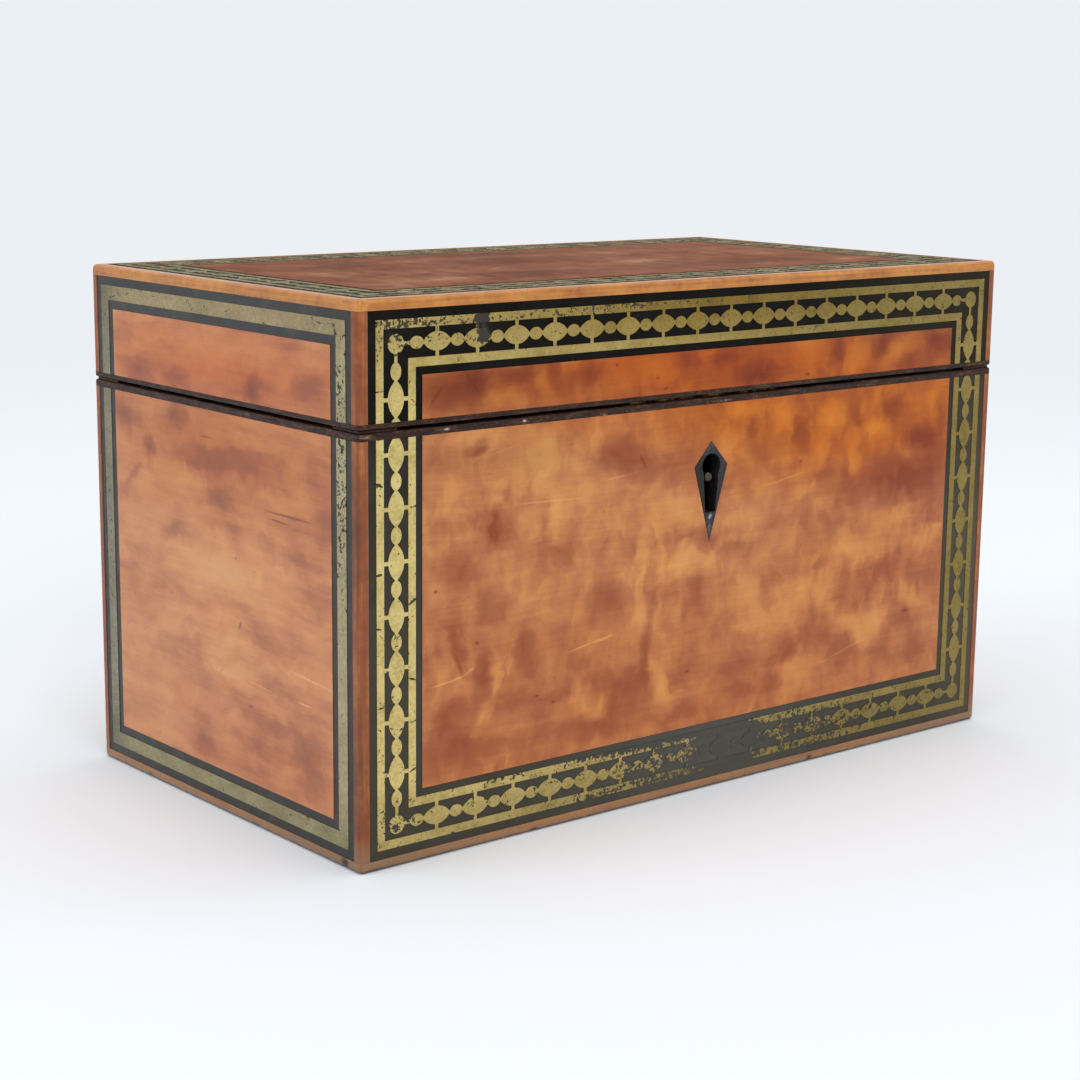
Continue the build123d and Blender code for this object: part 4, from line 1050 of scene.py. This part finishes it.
# %% [markdown]
# The joint between base and lid stands a little open, but at the corners the photograph
# shows no light through it. Thin black slips fill it there: one lies in each corner of the
# base's rim, just behind its rounded edge, and the lid comes down on them. Each is a flat
# outline, drawn for one corner, mirrored for the others and raised to its thickness.

# %% Corner slips in the rim
SLIP_BACK = 0.0008  # in metres, from the outer faces to the slip's edges
SLIP_LEG = 0.011
SLIP_WIDE = 0.0035
SLIP_EASE = 0.0001
SLIP_FILLS = 0.8  # share of the open joint
SLIP_OUTLINE = [
    (0, 0),
    (-SLIP_LEG, 0),
    (-SLIP_LEG, -SLIP_WIDE),
    (-SLIP_WIDE, -SLIP_WIDE),
    (-SLIP_WIDE, -SLIP_LEG),
    (0, -SLIP_LEG),
]


def corner_slips(material):
    """Four thin L-shaped slips on the corners of the base's rim."""
    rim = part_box("base_rim_facing")[1]
    thick = (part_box("lid_rim_facing")[0].z - rim.z) * SLIP_FILLS
    corner = rim.xy - Vector((SLIP_BACK, SLIP_BACK))
    mesh = bmesh.new()
    for side_x, side_y in ((1, 1), (-1, 1), (-1, -1), (1, -1)):
        outline = [(side_x * (corner.x + x), side_y * (corner.y + y)) for x, y in SLIP_OUTLINE]
        face = mesh.faces.new([mesh.verts.new((*point, rim.z)) for point in outline])
        raised = bmesh.ops.extrude_face_region(mesh, geom=[face])["geom"]
        top = [v for v in raised if isinstance(v, bmesh.types.BMVert)]
        bmesh.ops.translate(mesh, vec=(0, 0, thick), verts=top)
    bmesh.ops.recalc_face_normals(mesh, faces=mesh.faces)
    data = bpy.data.meshes.new("rim_corner_slips")
    mesh.to_mesh(data)
    mesh.free()
    slips = bpy.data.objects.new("rim_corner_slips", data)
    bpy.context.scene.collection.objects.link(slips)
    ease = slips.modifiers.new("Eased edges", "BEVEL")
    ease.width = SLIP_EASE
    ease.segments = 2
    data.materials.append(material)
    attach(slips, "base")
    print(slips.name, "are", round(thick * MM_PER_M, 2), "mm thick")


corner_slips(rim_black)

# %% [markdown]
# The plain woods inside: old pine for the carcass, with its wide light and dark bands, and
# cedar for the liners behind the foil. Both are sawn and planed, not polished, so they are
# rough. Their bands are clouds drawn out along the board. Round the keyhole the pine is
# darkened nearly to black: painted shade in the hole behind the escutcheon.

# %% Carcass and liner wood
PINE_TONES = [(0.0, "#1c1511"), (0.1, "#7c5430"), (0.5, "#a97c4c"), (1.0, "#c69c68")]
CEDAR_TONES = [(0.0, "#5c3420"), (0.5, "#83502f"), (1.0, "#a06a42")]
# painted shade: darkens the pine and the lock's brass nearly to black in the keyhole
KEYHOLE_SHADE = [(0, 84, 14, 18, 0, -3.0)]
BOARD_BANDS = [
    ((90.0, 5.0, 5.0), 2.0, 0.3),
    ((40.0, 0.8, 0.8), 3.0, 0.16),
    ((20.0, 20.0, 20.0), 3.0, 0.14),
]
BOARD_DRIFT = (30.0, 5.0)  # size and reach in millimetres
BOARD_PLANED = [((12.0, 4.0, 12.0), 3.0, 0.08)]
BOARD_MIDDLE, BOARD_ROUGH, BOARD_LEVEL = 0.55, 0.62, 0.3
BOARD_RELIEF = 0.08  # millimetres


def plain_wood(name, tones, painted_shade):
    """Unpolished, straight-grained wood, darkened where painted shade is marked."""
    material, tree = start_material(name, {"Specular IOR Level": BOARD_LEVEL})
    place = map_face(tree, FRONT)
    value = add_clouds(tree, drift(tree, place, *BOARD_DRIFT), BOARD_BANDS, BOARD_MIDDLE)
    value = add_marks(tree, place, FRONT.depth, painted_shade, value)
    colour = ramp_colour(tree, value, tones)
    roughness = add_clouds(tree, place, BOARD_PLANED, BOARD_ROUGH)
    links = {"Base Color": colour, "Roughness": roughness}
    return finish_material(material, links, value, BOARD_RELIEF)


pine = plain_wood("old pine", PINE_TONES, KEYHOLE_SHADE)
cedar = plain_wood("cedar", CEDAR_TONES, [])

# %% [markdown]
# Brass for the lock, the link plate and the hinges, iron for the cap, the spring and the
# screws. A metal's colour is its base colour with metallic at 1, and its IOR stays as it
# is. Brass that has not been polished for years is brown in its hollows: a cloud of tarnish
# darkens and roughens it. One even colour would look new. Behind the keyhole and in the
# joint between base and lid, the lock's brass is darkened with painted shade.

# %% Metals
BRASS_TONES = [(0.0, "#6e5227"), (0.5, "#a8853f"), (1.0, "#d3b066")]
# its black first stop is reached only where painted shade is marked
SHADED_BRASS_TONES = [(0.0, "#15110c"), (0.2, "#6e5227"), (0.5, "#a8853f"), (1.0, "#d3b066")]
IRON_TONES = [(0.0, "#38322d"), (0.5, "#5d5853"), (1.0, "#86827d")]
# painted shade on the lock's brass in the open joint between base and lid
JOINT_SHADE = [(0, 108.0, 90, 2.5, 0, -0.5)]
TARNISH = [((6.0, 6.0, 6.0), 4.0, 0.4), ((0.8, 0.8, 0.8), 3.0, 0.2)]
TARNISH_MIDDLE = 0.5
TARNISH_ROUGHENS = 0.12
METAL_RELIEF = 0.04  # millimetres


def tarnished(name, tones, rough, painted_shade=()):
    """Tarnished metal: darker where it is rougher, and where painted shade is marked."""
    material, tree = start_material(name, {"Metallic": 1.0})
    place = map_face(tree, FRONT)
    value = add_clouds(tree, place, TARNISH, TARNISH_MIDDLE)
    value = add_marks(tree, place, FRONT.depth, painted_shade, value)
    colour = ramp_colour(tree, value, tones)
    settings = {0: value, 3: rough + TARNISH_ROUGHENS, 4: rough - TARNISH_ROUGHENS}
    roughness = add_node(tree, "ShaderNodeMapRange", settings).outputs[0]
    links = {"Base Color": colour, "Roughness": roughness}
    return finish_material(material, links, value, METAL_RELIEF)


brass = tarnished("tarnished brass", BRASS_TONES, 0.36)
shaded_lock_brass = tarnished("lock brass with painted shade", SHADED_BRASS_TONES, 0.4, KEYHOLE_SHADE + JOINT_SHADE)
iron = tarnished("dull iron", IRON_TONES, 0.45)

# %% [markdown]
# The escutcheon is a kite of ebony, polished once and now satin, with faint streaks. One
# plain black would swallow the keyhole, and the kite would read as a hole itself. Its light
# and shade are painted on: it is darker on its left side and lighter on its right, with grey
# painted highlights on its two points and a small one by the hole.

# %% Ebony escutcheon
EBONY_TONES = [(0.0, "#141211"), (0.4, "#282426"), (0.8, "#46434a"), (1.0, "#8b8c98")]
EBONY_STREAKS = [((1.2, 9.0, 9.0), 3.0, 0.24), ((0.8, 0.8, 0.8), 3.0, 0.2)]
EBONY_HANDLED = [((2.0, 2.0, 2.0), 3.0, 0.12)]
EBONY_MIDDLE, EBONY_ROUGH, EBONY_LEVEL = 0.26, 0.34, 0.3
EBONY_RELIEF = 0.05  # millimetres
KITE_LIGHT_DRIFT = (1.5, 0.8)  # size and reach in millimetres
# painted highlights on the points and by the hole, a lighter right side and a darker left side
KITE_LIGHT_AND_SHADE = [
    (0, 96, 5, 4.5, 0, 0.5),
    (0, 72, 4, 5, 0, 0.5),
    (0.2, 76.4, 1.8, 1.0, 20, 0.9),
    (4.5, 90, 2.5, 5, 0, 0.25),
    (-3.6, 86, 3, 8, 10, -0.5),
]


def kite_ebony(name):
    """Dark, faintly streaked ebony, with painted highlights and shade."""
    even = {"IOR": SHELLAC_IOR, "Specular IOR Level": EBONY_LEVEL}
    material, tree = start_material(name, even)
    place = map_face(tree, FRONT)
    value = add_clouds(tree, place, EBONY_STREAKS, EBONY_MIDDLE)
    value = add_marks(tree, drift(tree, place, *KITE_LIGHT_DRIFT), FRONT.depth, KITE_LIGHT_AND_SHADE, value)
    colour = ramp_colour(tree, value, EBONY_TONES)
    roughness = add_clouds(tree, place, EBONY_HANDLED, EBONY_ROUGH)
    links = {"Base Color": colour, "Roughness": roughness}
    return finish_material(material, links, value, EBONY_RELIEF)


ebony = kite_ebony("ebony with painted light")

# %% [markdown]
# Boxwood knobs: a pale yellow, very even wood, turned and polished. Turning leaves faint
# rings, so the streaks run round the knob's axis, level with the cover. A wave texture
# would draw even rings. Clouds pressed flat give the uneven ones of a hand-turned knob.

# %% Boxwood knobs
BOXWOOD_TONES = [(0.0, "#94703a"), (0.5, "#bd9a5c"), (1.0, "#d9bd84")]
BOXWOOD_RINGS = [((30.0, 30.0, 0.5), 2.0, 0.14), ((5.0, 5.0, 5.0), 3.0, 0.2)]
BOXWOOD_HANDLED = [((4.0, 4.0, 4.0), 3.0, 0.08)]
BOXWOOD_MIDDLE, BOXWOOD_ROUGH, BOXWOOD_LEVEL = 0.5, 0.32, 0.4
BOXWOOD_RELIEF = 0.03  # millimetres


def boxwood(name):
    """Turned, polished boxwood."""
    even = {"IOR": SHELLAC_IOR, "Specular IOR Level": BOXWOOD_LEVEL}
    material, tree = start_material(name, even)
    place = map_face(tree, TOP)
    value = add_clouds(tree, place, BOXWOOD_RINGS, BOXWOOD_MIDDLE)
    colour = ramp_colour(tree, value, BOXWOOD_TONES)
    roughness = add_clouds(tree, place, BOXWOOD_HANDLED, BOXWOOD_ROUGH)
    links = {"Base Color": colour, "Roughness": roughness}
    return finish_material(material, links, value, BOXWOOD_RELIEF)


knob_wood = boxwood("turned boxwood")

# %% [markdown]
# The lid is lined with paper, once blue-green, now faded and foxed: brown spots a few
# millimetres wide where damp has got in. They are the same specks as the dust, only larger
# and with drifting edges. Paper has no gloss to speak of.

# %% Lining paper
PAPER_TONES = [(0.0, "#3f524f"), (0.5, "#5b716b"), (1.0, "#7d9087")]
PAPER_STAINS = [((45.0, 30.0, 30.0), 4.0, 0.4), ((0.6, 0.6, 0.6), 3.0, 0.14)]
PAPER_MATT = [((9.0, 9.0, 9.0), 3.0, 0.06)]
PAPER_MIDDLE, PAPER_ROUGH, PAPER_LEVEL = 0.5, 0.85, 0.2
PAPER_RELIEF = 0.08  # millimetres
FOXING = (6.5, 2.0, "#7a5f3e", 0.6)  # spacing, radius, colour and how much of it
FOXING_DRIFT = (3.0, 3.0)  # size and reach in millimetres


def old_paper(name):
    """Faded, foxed lining paper."""
    material, tree = start_material(name, {"Specular IOR Level": PAPER_LEVEL})
    place = map_face(tree, TOP)
    value = add_clouds(tree, place, PAPER_STAINS, PAPER_MIDDLE)
    colour = ramp_colour(tree, value, PAPER_TONES)
    colour = add_specks(tree, drift(tree, place, *FOXING_DRIFT), colour, *FOXING)
    roughness = add_clouds(tree, place, PAPER_MATT, PAPER_ROUGH)
    links = {"Base Color": colour, "Roughness": roughness}
    return finish_material(material, links, value, PAPER_RELIEF)


paper = old_paper("faded lining paper")

# %% [markdown]
# Tea foil is soft lead and tin, a dull grey metal. Air has left it patchy, so its colour
# and its gloss wander by the centimetre. Its creases are far too deep for a bump, and
# come with its mesh, below.

# %% Foil metal
FOIL_TONES = [(0.0, "#6c6e6e"), (0.5, "#8e9190"), (1.0, "#b2b4b2")]
FOIL_DULL = [((12.0, 12.0, 12.0), 4.0, 0.4), ((1.5, 1.5, 1.5), 3.0, 0.2)]
FOIL_HANDLED = [((5.0, 5.0, 5.0), 3.0, 0.1)]
FOIL_MIDDLE, FOIL_ROUGH = 0.5, 0.42


def foil_metal(name):
    """Dull grey tea foil."""
    material, tree = start_material(name, {"Metallic": 1.0})
    place = map_face(tree, TOP)
    value = add_clouds(tree, place, FOIL_DULL, FOIL_MIDDLE)
    colour = ramp_colour(tree, value, FOIL_TONES)
    roughness = add_clouds(tree, place, FOIL_HANDLED, FOIL_ROUGH)
    return finish_material(material, {"Base Color": colour, "Roughness": roughness})


foil_finish = foil_metal("lead tea foil")

# %% [markdown]
# Foil is pressed into the rooms by hand and never lies flat: it is creased all over. A bump
# alone would leave its edge straight, so the foil is a mesh of its own, a fine open box
# whose walls are pushed inwards by ridged noise, then given thickness.

# %% Creased linings of foil
FOIL_STEP = 0.0025  # these four are in metres
FOIL_CREASE = 0.0007
FOIL_THICK = 0.00025
CREASE_SIZE = 0.014
CREASE_SHARP = 3  # the power that narrows a crease
ON_WALL = 1e-6  # a point this near a wall's plane lies on it


def push_inwards(v, low, high):
    """Move a point of the open box away from the walls it lies on."""
    inward = Vector([0.0, 0.0, 0.0])
    for axis in range(3):
        if v.co[axis] - low[axis] < ON_WALL:
            inward[axis] = 1.0
        elif high[axis] - v.co[axis] < ON_WALL and axis < 2:
            inward[axis] = -1.0
    ridge = 1.0 - abs(noise.fractal(v.co / CREASE_SIZE, 1.0, 2.0, 3))
    v.co += inward * FOIL_CREASE * min(1.0, max(0.0, ridge)) ** CREASE_SHARP


def line_with_foil(node, body, material):
    """Replace a plain foil lining by a creased one in the same room."""
    low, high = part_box(node)
    mesh = bmesh.new()
    bmesh.ops.create_cube(mesh, size=1.0)
    bmesh.ops.scale(mesh, vec=high - low, verts=mesh.verts)
    bmesh.ops.translate(mesh, vec=(low + high) / 2, verts=mesh.verts)
    opening = [f for f in mesh.faces if f.normal.z > 0.5]
    bmesh.ops.delete(mesh, geom=opening, context="FACES_ONLY")
    cuts = int(max(high - low) / FOIL_STEP) - 1
    bmesh.ops.subdivide_edges(mesh, edges=mesh.edges, cuts=cuts, use_grid_fill=True)
    for v in mesh.verts:
        push_inwards(v, low, high)
    data = bpy.data.meshes.new(f"{node}_creased")
    mesh.to_mesh(data)
    mesh.free()
    foil = bpy.data.objects.new(f"{node}_creased", data)
    bpy.context.scene.collection.objects.link(foil)
    thick = foil.modifiers.new("Thickness", "SOLIDIFY")
    thick.thickness = FOIL_THICK
    thick.offset = -1.0
    data.materials.append(material)
    data.polygons.foreach_set("use_smooth", [True] * len(data.polygons))
    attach(foil, body)
    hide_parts(node)
    print(foil.name, "has", len(data.vertices), "points")


for side in ("left", "right"):
    line_with_foil(f"{side}_foil_lining", "base", foil_finish)

# %% [markdown]
# Now each piece of the frame gets its finish. The record's slot says what a piece is made
# of, and where one slot covers several faces, the piece's name says which map it needs.

# %% Give the pieces their finishes
BY_SLOT = {
    "edge_stringing": string_wood,
    "carcass_wood": pine,
    "liner_wood": cedar,
    "cover_wood": cover_wood,
    "knob": knob_wood,
    "lining_paper": paper,
    "lock_brass": brass,
    "lock_iron": iron,
    "hinge_brass": brass,
    "lead_foil": foil_finish,
    "ebonised_wood": rim_black,
}
BY_FACE = {
    "satinwood_veneer": {
        "base_front": front_woods["base"],
        "lid_front": front_woods["lid"],
        "_back": back_wood,
        "_end": end_wood,
        "_top": top_wood,
    },
    "ebonised_wood": {
        "base_front": black_base,
        "lid_front": black_lid,
        "_back": black_base,
        "_end": black_end,
        "_top": black_top,
    },
    "gilding": {"_front": gilt_front, "_back": gilt_back, "_end": gilt_end, "_top": gilt_top},
}
BY_NAME = {"kite_escutcheon": ebony, "lock_plate": shaded_lock_brass, "link_plate": shaded_lock_brass}
used = {}
for name, node in nodes.items():
    finish = BY_SLOT.get(slot_of[name])
    for face, material in BY_FACE.get(slot_of[name], {}).items():
        if face in name:
            finish = material
    finish = BY_NAME.get(name, finish)
    node.data.materials.clear()
    node.data.materials.append(finish)
    used[finish.name] = used.get(finish.name, 0) + 1
print("pieces per finish:", used)

# %% [markdown]
# The box stands on a plain pale floor, under plain soft light. A studio would use a paper
# sweep: the floor here is one large sheet, and far away it fades into the pale background,
# so that no horizon shows. The fade is only for what is seen directly, in gloss or through
# glass, and leaves the light on the box alone.

# %% Floor
FLOOR_COLOUR = "#f5f9fc"
BACKGROUND = "#ecf0f4"
FADE_NEAR, FADE_FAR = 0.35, 1.1  # metres from under the box
FLOOR_HALF = 8.0


def seen_directly(tree):
    """1 for rays from the camera, off gloss or through glass, and 0 for light on things."""
    path = add_node(tree, "ShaderNodeLightPath", {}).outputs
    settings = {"operation": "MAXIMUM", 0: path["Is Camera Ray"], 1: path["Is Glossy Ray"]}
    either = add_node(tree, "ShaderNodeMath", settings).outputs[0]
    settings = {"operation": "MAXIMUM", 0: either, 1: path["Is Transmission Ray"]}
    return add_node(tree, "ShaderNodeMath", settings).outputs[0]


def paper_sweep(name):
    """Matt pale paper that fades into the background far from the box."""
    even = {"Roughness": 0.9, "Specular IOR Level": 0.2, "Base Color": linear(FLOOR_COLOUR)}
    material, tree = start_material(name, even)
    place = add_node(tree, "ShaderNodeTexCoord", {}).outputs["Object"]
    far = add_node(tree, "ShaderNodeVectorMath", {"operation": "LENGTH", 0: place})
    settings = {"interpolation_type": "SMOOTHSTEP", 0: far.outputs["Value"]}
    settings |= {1: FADE_NEAR, 2: FADE_FAR}
    faded = add_node(tree, "ShaderNodeMapRange", settings).outputs[0]
    settings = {"operation": "MULTIPLY", 0: faded, 1: seen_directly(tree)}
    amount = add_node(tree, "ShaderNodeMath", settings).outputs[0]
    glow = add_node(tree, "ShaderNodeEmission", {"Color": linear(BACKGROUND)}).outputs[0]
    settings = {0: amount, 1: tree.nodes[MAIN_SHADER].outputs[0], 2: glow}
    mixed = add_node(tree, "ShaderNodeMixShader", settings)
    tree.links.new(mixed.outputs[0], tree.nodes["Material Output"].inputs["Surface"])
    return material


floor_data = bpy.data.meshes.new("floor")
corners = [(x * FLOOR_HALF, y * FLOOR_HALF, 0.0) for x, y in ((-1, -1), (1, -1), (1, 1), (-1, 1))]
floor_data.from_pydata(corners, [], [(0, 1, 2, 3)])
floor_data.materials.append(paper_sweep("matt paper sweep"))
floor = bpy.data.objects.new("floor", floor_data)
bpy.context.scene.collection.objects.link(floor)
print("floor", 2 * FLOOR_HALF, "m wide")

# %% [markdown]
# An even sky from the world lights the box from all round, at a little over half strength.
# What the camera sees behind the floor is a plain background, at strength 1, which has no
# part in that light.

# %% Sky
SKY_COLOUR, SKY_STRENGTH = "#f7f8fa", 0.6
world = bpy.data.worlds.new("studio")
bpy.context.scene.world = world
world.use_nodes = True
tree = world.node_tree
sky = tree.nodes["Background"]
sky.inputs["Color"].default_value = linear(SKY_COLOUR)
sky.inputs["Strength"].default_value = SKY_STRENGTH
plain = add_node(tree, "ShaderNodeBackground", {"Color": linear(BACKGROUND), "Strength": 1.0})
settings = {0: seen_directly(tree), 1: sky.outputs[0], 2: plain.outputs[0]}
mixed = add_node(tree, "ShaderNodeMixShader", settings)
tree.links.new(mixed.outputs[0], tree.nodes["World Output"].inputs["Surface"])
print("sky at strength", SKY_STRENGTH)

# %% [markdown]
# Three wide softboxes add to it: one overhead, one in front of the box, and one on the
# left, low and a little cool, which lays a sheen on the end. Together with the sky they
# give a surface about the light at which its colour renders as it is written.

# %% Softboxes
BOX_MIDDLE = Vector((0.0, 0.0, 0.07))  # metres
SOFTBOXES = [  # name, place, size, power in watts, colour
    ("overhead", (0.3, -0.3, 3.0), 3.0, 39.0, "#f9fbfe"),
    ("front", (-1.4, -3.6, 2.0), 2.6, 53.0, "#fbfbfe"),
    ("left", (-3.0, 1.2, 1.4), 2.2, 26.0, "#ecf3ff"),
]
for name, place, size, power, colour in SOFTBOXES:
    data = bpy.data.lights.new(name, "AREA")
    data.shape = "SQUARE"
    data.size = size
    data.energy = power
    data.color = linear(colour)[:3]
    lamp = bpy.data.objects.new(name, data)
    lamp.location = place
    lamp.rotation_euler = (BOX_MIDDLE - lamp.location).to_track_quat("-Z", "Y").to_euler()
    bpy.context.scene.collection.objects.link(lamp)
print(len(SOFTBOXES), "softboxes")

# %% [markdown]
# The camera stands in front of the box, well to its left, and looks down a little. It could
# be placed by eye, but its place, direction and focal length were worked out from the box's
# corners, at their real size. It is tilted by about half a degree, as a camera held in the
# hand is.

# %% Camera
CAMERA_AT = (-0.41212, -0.49034, 0.18817)
TURNED_RIGHT, LOOKS_DOWN, TILT = 39.60, 11.37, 0.614  # degrees
LENS, SENSOR = 74.75, 36.0  # millimetres
NEAREST_SEEN = 0.01  # metres
turned, down, tilt = (math.radians(angle) for angle in (TURNED_RIGHT, LOOKS_DOWN, TILT))
ahead = Vector(
    (math.sin(turned) * math.cos(down), math.cos(turned) * math.cos(down), -math.sin(down))
)
level = ahead.cross(Vector((0, 0, 1))).normalized()
above = level.cross(ahead)
right = math.cos(tilt) * level + math.sin(tilt) * above
up = math.cos(tilt) * above - math.sin(tilt) * level
camera_data = bpy.data.cameras.new("camera")
camera_data.lens = LENS
camera_data.sensor_width = SENSOR
camera_data.clip_start = NEAREST_SEEN
camera = bpy.data.objects.new("camera", camera_data)
turn = Matrix((right, up, -ahead)).transposed().to_4x4()
camera.matrix_world = Matrix.Translation(CAMERA_AT) @ turn
bpy.context.scene.collection.objects.link(camera)
bpy.context.scene.camera = camera
print("camera is", round((Vector(CAMERA_AT) - BOX_MIDDLE).length, 3), "m from the box")
